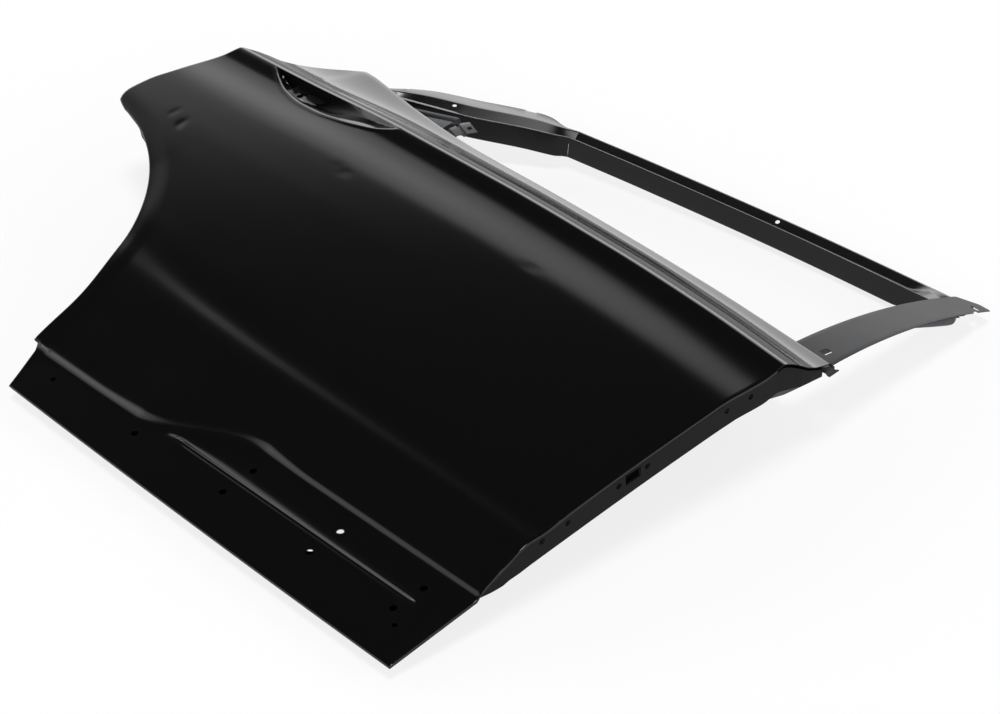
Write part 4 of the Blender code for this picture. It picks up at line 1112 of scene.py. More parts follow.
    def build(self, material: Material) -> Object:
        """Presses, hems and punches the skin.

        Args:
            material: its finish.

        Returns:
            The skin.
        """
        shape = self.shape
        points, faces = self.folded(self.rows())
        skin = mesh_piece("pressed_outer_skin", points, faces, material)
        face_out(skin, (0, 0, 1))
        thicken(skin, shape.sheet, even=False)
        settle(skin, self.sharp_degrees)
        holes = [Hole(round_loop((x, y), size / 2), shape.height(x, y) + 8, 16)
                 for size, places in ((self.clip_hole, self.clip_holes), (self.small_hole, self.small_holes))
                 for x, y in places]
        punch(skin, [*holes, self.scoop_opening()], self.sharp_degrees)
        return hand_over(skin, Slot.SKIN, "outer_skin")


# The window frame

@dataclass(frozen=True)
class FrameSurface:
    """The surface that the window frame follows: it leans inboard, more and more towards the roof."""

    start: float = 772
    lean: float = 0.18
    curve: float = 0.00049
    taper: float = 0.015

    def height(self, x: float, y: float) -> float:
        """Height over a place in plan."""
        up = y - self.start
        return -1 - self.lean * up - self.curve * up * up + self.taper * x

    def station(self, x: float, y: float, way: Place) -> Station:
        """Finds the local directions of a path on the surface.

        Args:
            x: place along the door.
            y: level.
            way: the path's direction in plan.

        Returns:
            The point, the way out across the path, and the surface's normal.
        """
        slope = -self.lean - 2 * self.curve * (y - self.start)
        normal = Vector((-self.taper, -slope, 1)).normalized()
        tangent = Vector((way[0], way[1], self.taper * way[0] + slope * way[1])).normalized()
        return Vector((x, y, self.height(x, y))), tangent.cross(normal).normalized(), normal

    def hole(self, loop: Sequence[Place], above: float, depth: float) -> Hole:
        """A hole that starts above the surface's highest place in a loop."""
        return Hole(loop, max(self.height(x, y) for x, y in loop) + above, depth)


@dataclass(frozen=True)
class RailSection:
    """Open section of the frame: return flange, reveal, lip, channel with a slanted wall, outer flange."""

    channel: float
    flange: float
    lean: float
    wall: float
    lip: float = 3.0
    depth: float = 11.0
    drop: float = 1.3
    reveal: float = 34.0
    return_flange: float = 18.0
    roll: float = 1.6

    def line(self) -> list[Place]:
        """Works out the section.

        Returns:
            Distance out from the lip and height over the frame's surface, for each point.
        """
        top = -self.drop
        outer = self.channel + self.flange
        wall = max(self.channel - self.wall, self.lip + 3.5)
        corners = [(self.lean + self.return_flange, top - self.reveal - 1), (self.lean, top - self.reveal)]
        corners += [(-0.8, top), (self.lip, top), (self.lip + 2, top - self.depth + 0.5)]
        corners += [(wall, top - self.depth)]
        corners += [(self.channel, top), (outer, top), (outer, top - self.roll)]
        return rounded(corners, (2.5, 1.3, 1.2, 2.0, 3.0, 2.2, self.roll / 2))


def rounded(corners: Sequence[Place], radii: Sequence[float], steps: int = 4) -> list[Place]:
    """Rounds the corners of an open line.

    Args:
        corners: its points. The first and the last stay as they are.
        radii: how far before each corner its bend starts.
        steps: straight pieces of each bend.

    Returns:
        The rounded line, always with the same number of points.
    """
    line = [tuple(corners[0])]
    for before, corner, after, size in zip(corners, corners[1:], corners[2:], radii):
        a, b, c = Vector(before), Vector(corner), Vector(after)
        reach = min(size, 0.45 * (a - b).length, 0.45 * (c - b).length)
        start = b + (a - b).normalized() * reach
        end = b + (c - b).normalized() * reach
        for k in range(steps + 1):
            t = k / steps
            line.append(tuple(start * (1 - t) ** 2 + b * (2 * t * (1 - t)) + end * t * t))
    line.append(tuple(corners[-1]))
    return line


@dataclass
class WindowFrame:
    """The header and the rear leg of the window frame, mitred with a fine seam where they meet."""

    surface: FrameSurface
    sheet: float = 1.0
    lip_knots: tuple[Place, ...] = ((-742, 996), (-611, 1015), (-283, 1050), (-45, 1061))
    header_channel: Place = (51, 40)
    header_flange: float = 4.0
    leg_stations: tuple[tuple[float, float, float, float], ...] = (
        (-742, 996, 40, 4), (-760, 981, 46, 20), (-791, 961, 51, 38), (-868, 905, 47, 35),
        (-930, 876, 41, 30), (-980, 856, 26, 20), (-1004, 849, 12, 12))
    leans: Place = (9, 1)
    walls: Place = (12, 60)
    seam: float = 0.25
    wide_lip: Place = (-884, 7.0)
    raised_end: Place = (-104, 40)
    raised_by: float = 9.5
    front_reveal: tuple[float, float, float] = (-150, -60, 13)
    header_hole: Place = (-389, 1076)
    leg_hole: Place = (-916, 920)
    hole: float = 7.0
    leg_slots: tuple[tuple[float, float, float, float], ...] = ((-1003, 893, 19, 27), (-853, 1019, 17, 38))
    leg_slot_size: Place = (5.5, 2.6)
    steps: tuple[int, int] = (90, 56)

    def header_path(self) -> list[Place]:
        """Follows the header's lip line.

        Returns:
            Places in plan, from the front to the mitre.
        """
        lip = Curve(self.lip_knots)
        rear, front = self.lip_knots[0][0], self.lip_knots[-1][0]
        return [(x, lip(x)) for x in np.linspace(front, rear, self.steps[0] + 1).tolist()]

    def leg_rows(self) -> list[tuple[float, float, float, float]]:
        """Follows the rear leg from the mitre down.

        Returns:
            Place, level, channel width and flange width of each station.
        """
        run = [0.0]
        for a, b in zip(self.leg_stations, self.leg_stations[1:]):
            run.append(run[-1] + math.dist(a[:2], b[:2]))
        curves = [Curve(zip(run, [s[k] for s in self.leg_stations])) for k in range(4)]
        return [tuple(c(t) for c in curves) for t in np.linspace(0, run[-1], self.steps[1] + 1).tolist()]

    def path_stations(self, path: Sequence[Place]) -> list[Station]:
        """Finds the local directions along a path.

        Args:
            path: places in plan.

        Returns:
            The point, the way out and the normal at each.
        """
        found = []
        for k, (x, y) in enumerate(path):
            before, after = path[max(k - 1, 0)], path[min(k + 1, len(path) - 1)]
            found.append(self.surface.station(x, y, (after[0] - before[0], after[1] - before[1])))
        return found

    def sweep(self, stations: Sequence[Station], sections: Sequence[RailSection]) -> list[list[Point]]:
        """Lays a section at each station.

        Args:
            stations: point, outward direction and normal of each.
            sections: one section for each station.

        Returns:
            Rows of points in the door's axes.
        """
        rows = []
        for (point, outward, normal), section in zip(stations, sections):
            row = []
            for u, h in section.line():
                place = point + outward * u
                place.z = self.surface.height(place.x, place.y)
                row.append(tuple(place + normal * h))
            rows.append(row)
        return rows

    def header_section(self, x: float, share: float) -> RailSection:
        """Works out the header's section, with the raised end of its channel at the front.

        Args:
            x: place along the door.
            share: way from the front to the mitre.

        Returns:
            The section.
        """
        middle, reach = self.raised_end
        depth = RailSection.depth - self.raised_by * swell(x - middle, reach)
        start, end, low = self.front_reveal
        reveal = mix(RailSection.reveal, low, ease(start, end, x))
        return RailSection(mix(*self.header_channel, share), self.header_flange, self.leans[0],
                           self.walls[0], depth=depth, reveal=reveal)

    def leg_section(self, row: tuple[float, float, float, float], share: float) -> RailSection:
        """Works out the leg's section, with the wider lip near the belt.

        Args:
            row: place, level, channel width and flange width.
            share: way from the mitre to the leg's foot.

        Returns:
            The section.
        """
        x, _, channel, flange = row
        start, wide = self.wide_lip
        lip = mix(wide, RailSection.lip, ease(start - 6, start + 6, x))
        lean = mix(*self.leans, ease(0.0, 0.06, share))
        wall = mix(*self.walls, ease(0.0, 0.2, share))
        return RailSection(channel, flange, lean, wall, lip=min(lip, 0.3 * channel))

    def build(self, material: Material) -> list[Object]:
        """Sweeps, joins and punches both rails.

        Args:
            material: their finish.

        Returns:
            The header and the rear leg.
        """
        header, leg = self.header_path(), self.leg_rows()
        header_stations = self.path_stations(header)
        leg_stations = self.path_stations([row[:2] for row in leg])
        along_header = (Vector(header[-1]) - Vector(header[-2])).normalized()
        along_leg = (Vector(leg[1][:2]) - Vector(leg[0][:2])).normalized()
        way = (along_header + along_leg).normalized()
        widen = 1 / way.dot(along_header)
        point, outward, normal = self.surface.station(*header[-1], tuple(way))
        header_stations[-1] = (point - Vector((*way, 0)) * self.seam, outward * widen, normal)
        leg_stations[0] = (point, outward * widen, normal)
        count = len(header) - 1
        header_sections = [self.header_section(p[0], k / count) for k, p in enumerate(header)]
        leg_sections = [self.leg_section(row, k / (len(leg) - 1)) for k, row in enumerate(leg)]
        front = pressed_sheet(
            "window_header_rail", self.sweep(header_stations, header_sections), self.sheet, material)
        rear = pressed_sheet(
            "window_rear_rail", self.sweep(leg_stations, leg_sections), self.sheet, material)
        width, corner = self.leg_slot_size
        punch(front, [self.surface.hole(round_loop(self.header_hole, self.hole / 2), 3, 30)])
        loops = [round_loop(self.leg_hole, self.hole / 2)]
        loops += [slot_loop((x, y), length, width, turn, corner) for x, y, length, turn in self.leg_slots]
        punch(rear, [self.surface.hole(loop, 3, 30) for loop in loops])
        return [hand_over(front, Slot.FRAME, "window_frame_header"),
                hand_over(rear, Slot.FRAME, "window_frame_rear_leg")]


@dataclass
class PillarPlate:
    """The curved plate on the window's front pillar: it steps down under the belt and ends in a point."""

    surface: FrameSurface
    belt_line: Line
    sheet: float = 1.0
    foot: float = 738
    knee: Place = (0.6, 4.6)
    knee_drop: float = 20
    foot_front: float = -26
    top: float = 1114
    tip: Place = (-27, 1127)
    top_corner: Place = (-46, 1129)
    rear: float = -75
    rear_lean: float = 0.03
    front_lean: float = 0.085
    hole: Opening = ((-31, 791), (12, 14, 0, 1.5))
    slot: Opening = ((-41, 1106), (15, 6, -4, 2.9))
    notch: Opening = ((-27.5, 1094), (9, 9, 20, 1.2))
    edge_fall: float = 0.8
    columns: int = 18

    def height(self, x: float, y: float) -> float:
        """Height of the plate's face."""
        return self.surface.height(x, y) - self.knee_drop * (1 - ease(*self.knee, y - self.belt_line(x)))

    def place(self, x: float, y: float) -> float:
        """Level of a point, moved so that rows near the belt run along it."""
        shift = self.belt_line(x) - self.belt_line(0)
        return y + shift * (1 - ease(self.belt_line(0) + self.knee[1], self.top, y))

    def build(self, material: Material) -> Object:
        """Presses and punches the plate.

        Args:
            material: its finish.

        Returns:
            The plate.
        """
        belt = self.belt_line(0)
        knee = [belt + mix(*self.knee, share) for share in np.linspace(0, 1, 9).tolist()]
        levels = [mix(self.foot, knee[0], k / 4) for k in range(4)] + knee
        levels += [mix(knee[-1], self.top, k / 70) for k in range(1, 71)]
        rows = []
        for y in levels:
            rear = self.rear - self.rear_lean * (y - self.surface.start)
            front = -2 - self.front_lean * (y - self.surface.start)
            if y < belt + mix(*self.knee, 0.5):
                front = self.foot_front
            row = []
            for c in range(self.columns + 1):
                s = c / self.columns
                x = mix(rear, front, s)
                peak = mix(self.top_corner[1], self.tip[1], max(0.0, (5 * s - 3) / 2))
                lift = (peak - self.top) * min(1.0, 5 * s / 3) * ease(self.top - 75, self.top, y)
                level = self.place(x, y) + lift
                fall = self.edge_fall if c in (0, self.columns) else 0.0
                row.append((x, level, self.height(x, level) - fall))
            rows.append(row)
        plate = pressed_sheet("pillar_cover_plate", rows, self.sheet, material)
        openings = (self.hole, self.slot, self.notch)
        punch(plate, [self.surface.hole(slot_loop(place, *size), 6, 24) for place, size in openings])
        return hand_over(plate, Slot.PLATE, "pillar_plate")


@dataclass
class CornerBrackets:
    """The two brackets at the rear corner of the window: a ridged arm along the belt, and a grooved foot."""

    belt_line: Line
    sheet: float = 1.2
    arm_ends: Place = (-955, -838)
    ridge_start: Place = (-900, 9)
    ridge_slant: float = 0.5
    level: float = -18
    arm_section: tuple[Place, ...] = (
        (-6, -0.5), (-4.5, -5), (-2, -5), (0, 1), (6, 1), (7.5, -3), (9, -12), (15, -16))
    foot_rear: tuple[Place, ...] = ((822, -843), (832, -838), (838, -831), (855, -829), (868, -821))
    foot_front: tuple[Place, ...] = ((822, -806), (832, -805), (838, -805), (855, -797), (868, -789))
    foot_slant: float = 0.36
    groove_levels: tuple[float, ...] = (834, 851.5)
    groove: Place = (3.0, 3.6)
    hole: Opening = ((-805.5, 855.5), (8.5, 7, -20, 0.8))
    slot: Opening = ((-846, 827), (9, 2.6, 30, 1.2))

    def arm(self, material: Material) -> Object:
        """Presses the long arm, with a ridge that leaves the belt line towards the front.

        Args:
            material: its finish.

        Returns:
            The arm.
        """
        rows = []
        for x in np.linspace(*self.arm_ends, 60).tolist():
            start = max(4.0, self.ridge_start[1] + self.ridge_slant * (x - self.ridge_start[0]))
            line = rounded([(-20.0, -0.5), *((start + a, b) for a, b in self.arm_section)], (1.5,) * 8, 3)
            rows.append([(x, self.belt_line(x) + v, self.level + h) for v, h in line])
        arm = pressed_sheet("window_corner_arm", rows, self.sheet, material)
        return punch(arm, [Hole(slot_loop(self.slot[0], *self.slot[1]), self.level + 8, 20)])

    def foot(self, material: Material) -> Object:
        """Presses the short foot, with two grooves and a square hole.

        Args:
            material: its finish.

        Returns:
            The foot.
        """
        rear, front = Curve(self.foot_rear), Curve(self.foot_front)
        half, depth = self.groove
        rows = []
        for y in np.linspace(self.foot_rear[0][0], self.foot_rear[-1][0], 64).tolist():
            sink = sum(depth * (1 - ease(half - 1.2, half, abs(y - g))) for g in self.groove_levels)
            row = []
            for t in np.linspace(0, 1, 12).tolist():
                x = mix(rear(y), front(y), t)
                row.append((x, y - self.foot_slant * (x - rear(y)), self.level - sink - 2.0 * (1 - t) ** 6))
            rows.append(row)
        foot = pressed_sheet("window_corner_foot", rows, self.sheet, material)
        return punch(foot, [Hole(slot_loop(self.hole[0], *self.hole[1]), self.level + 8, 20)])

    def build(self, material: Material) -> list[Object]:
        """Builds both brackets.

        Args:
            material: their finish.

        Returns:
            The arm and the foot.
        """
        return [hand_over(self.arm(material), Slot.PLATE, "corner_bracket"),
                hand_over(self.foot(material), Slot.PLATE, "corner_tab")]


@dataclass(frozen=True)
class GlassRun:
    """A channel that guides the window glass, open to the rear, behind the pillar's cover."""

    piece: str
    node: str
    rear: float
    levels: Place
    height: Callable[[float, float], float]
    sink: float
    width: float = 22.0
    depth: float = 24.0
    lip: float = 2.5
    sheet: float = 1.1

    def build(self, material: Material) -> Object:
        """Folds the channel along its levels.

        Args:
            material: its finish.

        Returns:
            The run.
        """
        corners = [(0.0, -self.lip), (0.3, 0.0), (self.width, 0.0)]
        corners += [(u, -self.depth - h) for u, h in reversed(corners)]
        section = rounded(corners, (1.0, 3.0, 3.0, 1.0), 5)
        rows = []
        for y in np.linspace(*self.levels, 70).tolist():
            top = self.height(self.rear, y) - self.sink
            rows.append([(self.rear + u, y, top + h) for u, h in section])
        run = pressed_sheet(self.piece, rows, self.sheet, material, (1, 0, 0.01))
        return hand_over(run, Slot.BRACKET, self.node)


@dataclass
class FrontTabs:
    """The small sheets at the front: the gusset under the pillar plate, and the folded tab of the belt."""

    surface: FrameSurface
    sheet: float = 1.2
    gusset: tuple[Place, ...] = (
        (-54, 950), (-45, 955), (-36, 985), (-28.5, 1038.5), (-49, 1078), (-54, 1080))
    gusset_drops: Place = (5.0, 16.0)
    gusset_grid: tuple[int, int] = (24, 8)
    tab_ends: Place = (-12.8, 7.6)
    tab_levels: Place = (756, 774.5)
    tab_height: float = -4.0
    tab_fold: tuple[float, float, float] = (2.6, 1.6, 2.2)
    tab_nick: float = 3.0

    def gusset_sheet(self, material: Material) -> Object:
        """Presses the gusset, curved with the frame's surface.

        Args:
            material: its finish.

        Returns:
            The gusset.
        """
        front = Curve([(y, x) for x, y in self.gusset[1:-1]])
        rear, low = self.gusset[0]
        count, columns = self.gusset_grid
        rows = []
        for y in np.linspace(low, self.gusset[-1][1], count).tolist():
            row = []
            for k, x in enumerate(np.linspace(rear, front(y), columns).tolist()):
                row.append((x, y, self.surface.height(x, y) - mix(*self.gusset_drops, k / (columns - 1))))
            rows.append(row)
        return pressed_sheet("pillar_curved_gusset", rows, self.sheet, material)

    def tab_sheet(self, material: Material) -> Object:
        """Folds the tab between its web and its foot.

        Args:
            material: its finish.

        Returns:
            The tab.
        """
        place, reach, rise = self.tab_fold
        low, high = self.tab_levels
        rows = []
        for x in np.linspace(*self.tab_ends, 36).tolist():
            nick = self.tab_nick * swell(x - place, self.tab_nick)
            fall = rise * ease(place - reach, place + reach, x)
            rows.append([(x, y, self.tab_height - fall) for y in np.linspace(low, high - nick, 6).tolist()])
        return pressed_sheet("belt_folded_tab", rows, self.sheet, material)

    def build(self, plate: Material, bracket: Material) -> list[Object]:
        """Builds both.

        Args:
            plate: finish of the gusset.
            bracket: finish of the tab.

        Returns:
            The gusset and the tab.
        """
        return [hand_over(self.gusset_sheet(plate), Slot.BRACKET, "pillar_gusset"),
                hand_over(self.tab_sheet(bracket), Slot.BRACKET, "belt_tab")]


@dataclass
class HandleStiffener:
    """The pressed plate behind the handle scoop, seen through its opening."""

    low_knots: tuple[Place, ...] = ((-1092, 676), (-1060, 655), (-1000, 648), (-880, 652), (-820, 690))
    high_knots: tuple[Place, ...] = ((-1092, 684), (-1078, 734), (-960, 748), (-836, 748), (-820, 700))
    level: float = 22.5
    sheet: float = 1.5
    web: tuple[float, float, float, float] = (-1038, 704, 5, 5.5)
    web_slant: float = 0.3
    boss: tuple[float, float, float] = (-1012, 704, 9)
    boss_rise: float = 5.0
    grid: tuple[int, int] = (69, 26)

    def height(self, x: float, y: float) -> float:
        """Works out the plate's face, with a web and a raised boss.

        Args:
            x: place along the door.
            y: level.

        Returns:
            Its height.
        """
        place, level, reach, rise = self.web
        web = rise * swell(x - place - self.web_slant * (y - level), reach)
        cx, cy, radius = self.boss
        boss = self.boss_rise * (1 - ease(radius, radius + 5, math.hypot(x - cx, y - cy)))
        return self.level + max(web, boss)

    def build(self, material: Material) -> Object:
        """Presses the plate.

        Args:
            material: its finish.

        Returns:
            The stiffener.
        """
        low, high = Curve(self.low_knots), Curve(self.high_knots)
        columns, count = self.grid
        rows = []
        for x in np.linspace(self.low_knots[0][0], self.low_knots[-1][0], columns).tolist():
            rows.append([(x, y, self.height(x, y)) for y in np.linspace(low(x), high(x), count).tolist()])
        plate = pressed_sheet("handle_pressed_stiffener", rows, self.sheet, material)
        punch(plate, [Hole(round_loop(self.boss[:2], 0.6 * self.boss[2]), self.level + 12, 24)])
        return hand_over(plate, Slot.BRACKET, "handle_stiffener")


# What repeats: Geometry Nodes

class ShapeTree:
    """A Geometry Nodes tree with named sizes, which ends in Realize Instances and Set Material."""

    def __init__(self, name: str, sizes: dict[str, float]) -> None:
        """Opens the tree and gives it an input for each size.

        Args:
            name: the tree's name.
            sizes: label and value of each input.
        """
        self.tree = bpy.data.node_groups.new(name, "GeometryNodeTree")
        face = self.tree.interface
        face.new_socket("Geometry", in_out="INPUT", socket_type="NodeSocketGeometry")
        face.new_socket("Geometry", in_out="OUTPUT", socket_type="NodeSocketGeometry")
        self.sizes = sizes
        self.identifiers = {}
        for label in sizes:
            socket = face.new_socket(label, in_out="INPUT", socket_type="NodeSocketFloat")
            self.identifiers[label] = socket.identifier
        self.entry = add_node(self.tree, "NodeGroupInput")

    def node(self, kind: str, inputs: dict | None = None, **settings: object) -> NodeSocket:
        """Adds a node and gives back its first output."""
        return add_node(self.tree, kind, inputs, **settings).outputs[0]

    def size(self, label: str) -> NodeSocket:
        """The output that carries a named input's value."""
        return self.entry.outputs[label]

    def portions(self, **factors: tuple[str, float]) -> dict[str, NodeSocket]:
        """Works out sizes that are a share of a named input.

        Args:
            **factors: for each size, the input's label and the share.

        Returns:
            The output that carries each size.
        """
        return {name: self.node("ShaderNodeMath", {0: self.size(label), 1: factor}, operation="MULTIPLY")
                for name, (label, factor) in factors.items()}

    def close(self, geometry: NodeSocket, material: Material) -> None:
        """Ends the tree.

        Args:
            geometry: what the tree has built.
            material: its finish.
        """
        real = self.node("GeometryNodeRealizeInstances", {"Geometry": geometry})
        dressed = self.node("GeometryNodeSetMaterial", {"Geometry": real, "Material": material})
        add_node(self.tree, "NodeGroupOutput", {0: dressed})

    def grow(self, name: str, spots: Sequence[Sequence[float]]) -> Object:
        """Runs the tree on loose points.

        Args:
            name: the piece's name.
            spots: the points, in metres in the frame.

        Returns:
            The finished piece, a plain mesh.
        """
        mesh = bpy.data.meshes.new(name)
        mesh.from_pydata([tuple(s) for s in spots], [], [])
        obj = place_object(name, mesh)
        modifier = obj.modifiers.new("grow", "NODES")
        modifier.node_group = self.tree
        for label, value in self.sizes.items():
            modifier[self.identifiers[label]] = value
        return settle(obj, 35)


def node_centres(nodes: Sequence[str]) -> list[Vector]:
    """Finds the middles of the CAD nodes' boxes, in the frame."""
    return [sum(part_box(node), Vector()) / 2 for node in nodes]


@dataclass(frozen=True)
class WeldNuts:
    """The hexagon weld nuts behind the hinge and check strap plates, chamfered at the free end."""

    plates: tuple[str, ...] = ("hinge_plate_lower", "hinge_plate_upper", "check_strap_plate")
    radius: float = 0.0079
    length: float = 0.0079
    bore: float = 0.0034
    thread: float = 0.0007

    def build(self, material: Material) -> Object:
        """Grows one nut at each CAD nut.

        Args:
            material: their finish.

        Returns:
            All six as one piece.
        """
        tree = ShapeTree("weld_nuts", {
            "Radius": self.radius, "Length": self.length, "Bore": self.bore, "Thread": self.thread})
        part = tree.portions(
            cone_top=("Radius", 0.86), cone_foot=("Radius", 1.25), cone_height=("Length", 1.2),
            cone_level=("Length", -0.6), sleeve=("Radius", 1.4), sleeve_height=("Length", 1.1),
            drill=("Length", 1.5), mouth_foot=("Bore", 0.5), mouth_height=("Bore", 0.6),
            mouth_level=("Length", 0.26))
        mouth_top = tree.node("ShaderNodeMath", {0: tree.size("Bore"), 1: tree.size("Thread")})
        cone_place = tree.node("ShaderNodeCombineXYZ", {"Z": part["cone_level"]})
        mouth_place = tree.node("ShaderNodeCombineXYZ", {"Z": part["mouth_level"]})
        nut = tree.node("GeometryNodeMeshCylinder", {
            "Vertices": 6, "Radius": tree.size("Radius"), "Depth": tree.size("Length")})
        cone = tree.node("GeometryNodeMeshCone", {
            "Vertices": 48, "Radius Top": part["cone_top"], "Radius Bottom": part["cone_foot"],
            "Depth": part["cone_height"]})
        cone = tree.node("GeometryNodeTransform", {"Geometry": cone, "Translation": cone_place})
        sleeve = tree.node("GeometryNodeMeshCylinder", {
            "Vertices": 48, "Radius": part["sleeve"], "Depth": part["sleeve_height"]})
        ring = tree.node("GeometryNodeMeshBoolean", {
            "Mesh 1": sleeve, "Mesh 2": cone}, operation="DIFFERENCE")
        bore = tree.node("GeometryNodeMeshCylinder", {
            "Vertices": 32, "Radius": tree.size("Bore"), "Depth": part["drill"]})
        mouth = tree.node("GeometryNodeMeshCone", {
            "Vertices": 32, "Radius Top": mouth_top, "Radius Bottom": part["mouth_foot"],
            "Depth": part["mouth_height"]})
        mouth = tree.node("GeometryNodeTransform", {"Geometry": mouth, "Translation": mouth_place})
        for tool in (ring, bore, mouth):
            nut = tree.node("GeometryNodeMeshBoolean", {
                "Mesh 1": nut, "Mesh 2": tool}, operation="DIFFERENCE")
        nuts = tree.node("GeometryNodeInstanceOnPoints", {
            "Points": tree.entry.outputs["Geometry"], "Instance": nut, "Rotation": (0.0, -math.pi / 2, 0.0)})
        tree.close(nuts, material)
        nodes = [f"{plate}_nut_{k}" for plate in self.plates for k in (1, 2)]
        return hand_over(tree.grow("hinge_weld_nuts", node_centres(nodes)), Slot.NUT, *nodes)


@dataclass(frozen=True)
class FlutterPads:
    """The mastic pads between the impact beam and the skin: squeezed drops with a slightly uneven face."""

    nodes: tuple[str, ...] = ("flutter_pad_1", "flutter_pad_2", "flutter_pad_3", "flutter_pad_4")
    length: float = 0.035
    width: float = 0.0185
    height: float = 0.0038
    swelling: float = 0.0003
    seed: float = 4.0
    turn_degrees: float = 4.0
    lump_mm: float = 1000 / 120

    def build(self, material: Material) -> Object:
        """Grows one drop at each CAD pad.

        Args:
            material: their finish.

        Returns:
            All four as one piece.
        """
        tree = ShapeTree("flutter_pads", {
            "Length": self.length, "Width": self.width, "Height": self.height, "Swelling": self.swelling,
            "Seed": self.seed})
        size = tree.node("ShaderNodeCombineXYZ", {
            "X": tree.size("Length"), "Y": tree.size("Width"), "Z": tree.size("Height")})
        block = tree.node("GeometryNodeMeshCube", {
            "Size": size, "Vertices X": 5, "Vertices Y": 4, "Vertices Z": 3})
        drop = tree.node("GeometryNodeSubdivisionSurface", {"Mesh": block, "Level": 2})
        turn = (math.radians(AXES.tilt_degrees), 0.0, math.radians(self.turn_degrees))
        drops = tree.node("GeometryNodeInstanceOnPoints", {
            "Points": tree.entry.outputs["Geometry"], "Instance": drop, "Rotation": turn})
        drops = tree.node("GeometryNodeRealizeInstances", {"Geometry": drops})
        noise = tree.node("ShaderNodeTexNoise", {
            "W": tree.size("Seed"), "Scale": 1000 / self.lump_mm}, noise_dimensions="4D")
        level = tree.node("ShaderNodeMath", {0: noise, 1: 0.5}, operation="SUBTRACT")
        level = tree.node("ShaderNodeMath", {0: level, 1: tree.size("Swelling")}, operation="MULTIPLY")
        normal = tree.node("GeometryNodeInputNormal")
        away = tree.node("ShaderNodeVectorMath", {0: normal, "Scale": level}, operation="SCALE")
        drops = tree.node("GeometryNodeSetPosition", {"Geometry": drops, "Offset": away})
        tree.close(drops, material)
        return hand_over(tree.grow("flutter_mastic_pads", node_centres(self.nodes)), Slot.PAD, *self.nodes)


# The studio

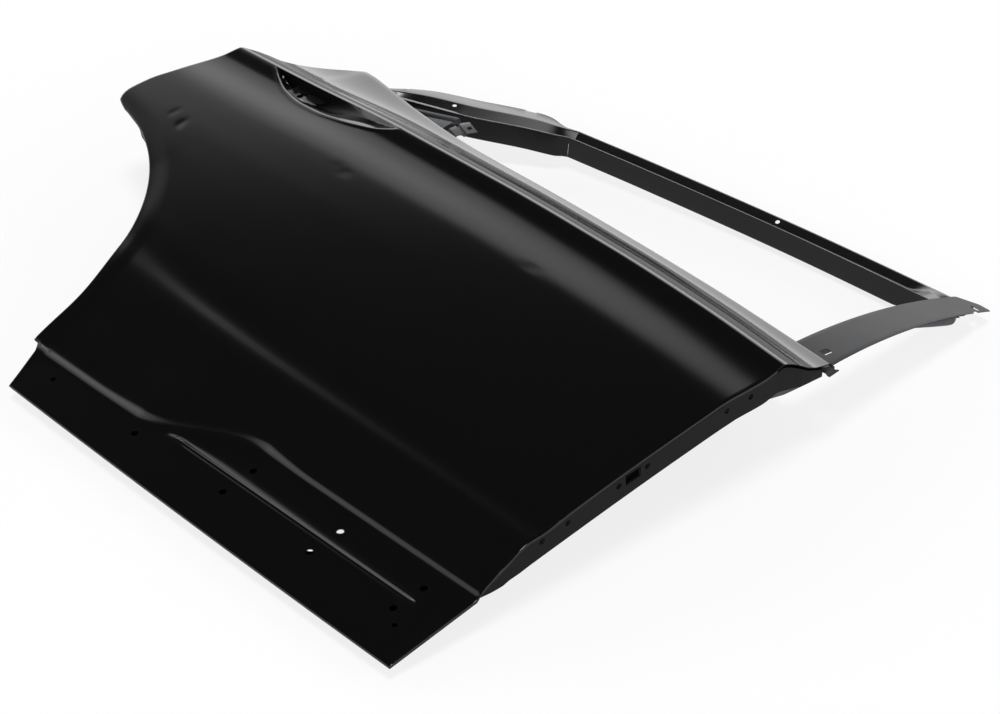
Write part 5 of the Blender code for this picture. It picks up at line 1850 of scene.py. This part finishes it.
@dataclass
class Studio:
    """A pale floor, a soft lamp overhead, a low bright horizon and the photograph's camera."""

    floor_colour: str = "#f4f4f5"
    floor_reach: float = 30.0
    camera_place: Point = (2117.4033, -1505.23806, 2425.08893)
    camera_back: Point = (0.61634313, -0.50070988, 0.60779171)
    camera_right: Point = (0.67484325, 0.73361499, -0.07997267)
    camera_up: Point = (-0.405842, 0.45945474, 0.79005924)
    lens: float = 108.0
    sun_strength: float = 1.6
    sun_width_degrees: float = 20.0
    horizon_strength: float = 2.3
    sky: tuple[Place, ...] = ((0.0, 1.0), (0.35, 1.0), (0.56, 0.36), (0.63, 0.002))
    shown_white: float = 0.8
    mirrored_white: float = 0.36

    def build(self) -> None:
        """Sets up the floor, the lamps, the world and the camera."""
        self.make_floor()
        self.make_lamps()
        self.make_world()
        self.make_camera()
        bpy.context.scene.view_settings.view_transform = "Standard"

    def make_floor(self) -> None:
        """A large matt pale sheet that the door lies on."""
        mesh = bpy.data.meshes.new("floor")
        sides = ((-1, -1), (1, -1), (1, 1), (-1, 1))
        corners = [(self.floor_reach * a, self.floor_reach * b, 0) for a, b in sides]
        mesh.from_pydata(corners, [], [(0, 1, 2, 3)])
        material = new_material("matt_paper_floor")
        tree = material.node_tree
        paper = add_node(tree, "ShaderNodeBsdfDiffuse", {"Color": linear(self.floor_colour)})
        rays = add_node(tree, "ShaderNodeLightPath")
        level = add_node(tree, "ShaderNodeMapRange", {
            "Value": rays.outputs["Is Glossy Ray"], "To Min": 1.0, "To Max": self.mirrored_white})
        white = add_node(tree, "ShaderNodeEmission", {
            "Color": (1, 1, 1, 1), "Strength": level.outputs["Result"]})
        seen = add_node(tree, "ShaderNodeMath", {
            0: rays.outputs["Is Camera Ray"], 1: rays.outputs["Is Glossy Ray"]}, operation="MAXIMUM")
        share = add_node(tree, "ShaderNodeMath", {
            0: seen.outputs[0], 1: self.shown_white}, operation="MULTIPLY")
        blend = add_node(tree, "ShaderNodeMixShader", {
            0: share.outputs[0], 1: paper.outputs["BSDF"], 2: white.outputs["Emission"]})
        add_node(tree, "ShaderNodeOutputMaterial", {"Surface": blend.outputs["Shader"]})
        mesh.materials.append(material)
        place_object("floor", mesh)

    def make_lamps(self) -> None:
        """One broad lamp overhead."""
        lamp = bpy.data.lights.new("overhead", "SUN")
        lamp.energy = self.sun_strength
        lamp.angle = math.radians(self.sun_width_degrees)
        place_object("overhead", lamp)

    def make_world(self) -> None:
        """A dark ceiling over a bright low horizon."""
        world = bpy.data.worlds.new("studio")
        bpy.context.scene.world = world
        world.use_nodes = True
        tree = world.node_tree
        tree.nodes.clear()
        place = add_node(tree, "ShaderNodeTexCoord")
        parts = add_node(tree, "ShaderNodeSeparateXYZ", {0: place.outputs["Generated"]})
        ramp = add_node(tree, "ShaderNodeValToRGB", {"Fac": parts.outputs["Z"]})
        stops = ramp.color_ramp.elements
        ramp.color_ramp.interpolation = "EASE"
        while len(stops) < len(self.sky):
            stops.new(1.0)
        for stop, (rise, share) in zip(stops, self.sky):
            stop.position = rise
            stop.color = (share, share, share, 1)
        glow = add_node(tree, "ShaderNodeBackground", {
            "Color": ramp.outputs["Color"], "Strength": self.horizon_strength})
        add_node(tree, "ShaderNodeOutputWorld", {"Surface": glow.outputs["Background"]})

    def make_camera(self) -> None:
        """The photograph's camera, found from the door's straight edges."""
        data = bpy.data.cameras.new("camera")
        data.lens = self.lens
        data.sensor_width = 36
        camera = place_object("camera", data)
        turn = Matrix((self.camera_right, self.camera_up, self.camera_back)).transposed().to_4x4()
        place = Matrix.Translation(Vector(self.camera_place) / 1000)
        camera.matrix_world = AXES.matrix() @ place @ turn
        bpy.context.scene.camera = camera


def dress_cad_nodes(materials: dict[Slot, Material]) -> None:
    """Gives each carried-over CAD node the finish of its slot.

    Args:
        materials: the built finishes.
    """
    for entry in frame["record"]["subparts"]:
        node = frame["nodes"][entry["node"]]
        node.data.materials.clear()
        node.data.materials.append(materials[Slot(entry["material_slot"])])
        log.info("dressed %s as %s", entry["node"], entry["material_slot"])


def report(piece: Object) -> None:
    """Logs a piece's name and its number of triangles.

    Args:
        piece: the finished piece.
    """
    triangles = sum(len(p.vertices) - 2 for p in piece.data.polygons)
    log.info("%s: %d triangles", piece.name, triangles)


def main() -> None:
    """Builds the finishes, the pieces and the studio in order."""
    logging.basicConfig(level=logging.INFO, format="%(name)s: %(message)s")
    materials = {slot: finish.build() for slot, finish in FINISHES.items()}
    dress_cad_nodes(materials)
    shape = SkinShape()
    report(OuterSkin(shape).build(materials[Slot.SKIN]))
    surface = FrameSurface()
    for rail in WindowFrame(surface).build(materials[Slot.FRAME]):
        report(rail)
    plate = PillarPlate(surface, shape.belt_line)
    report(plate.build(materials[Slot.PLATE]))
    for run in (GlassRun("glass_run_pillar", "glass_run_front", -77, (520, 940), plate.height, 2.6),
                GlassRun("glass_run_corner", "glass_run_rear", -872, (520, 745), surface.height, 13.7)):
        report(run.build(materials[Slot.BRACKET]))
    # Painted light: the stiffener and the gusset get a pale primer colour that stands in for the light reaching
    # them
    pale = PALE_PAINTED_LIGHT_FINISH.build()
    for tab in FrontTabs(surface).build(pale, materials[Slot.BRACKET]):
        report(tab)
    # Painted light: a lighter primer colour on both corner brackets
    for bracket in CornerBrackets(shape.belt_line).build(CORNER_PAINTED_LIGHT_FINISH.build()):
        report(bracket)
    report(HandleStiffener().build(pale))
    report(WeldNuts().build(materials[Slot.NUT]))
    report(FlutterPads().build(materials[Slot.PAD]))
    Studio().build()


if __name__ == "__main__":
    main()
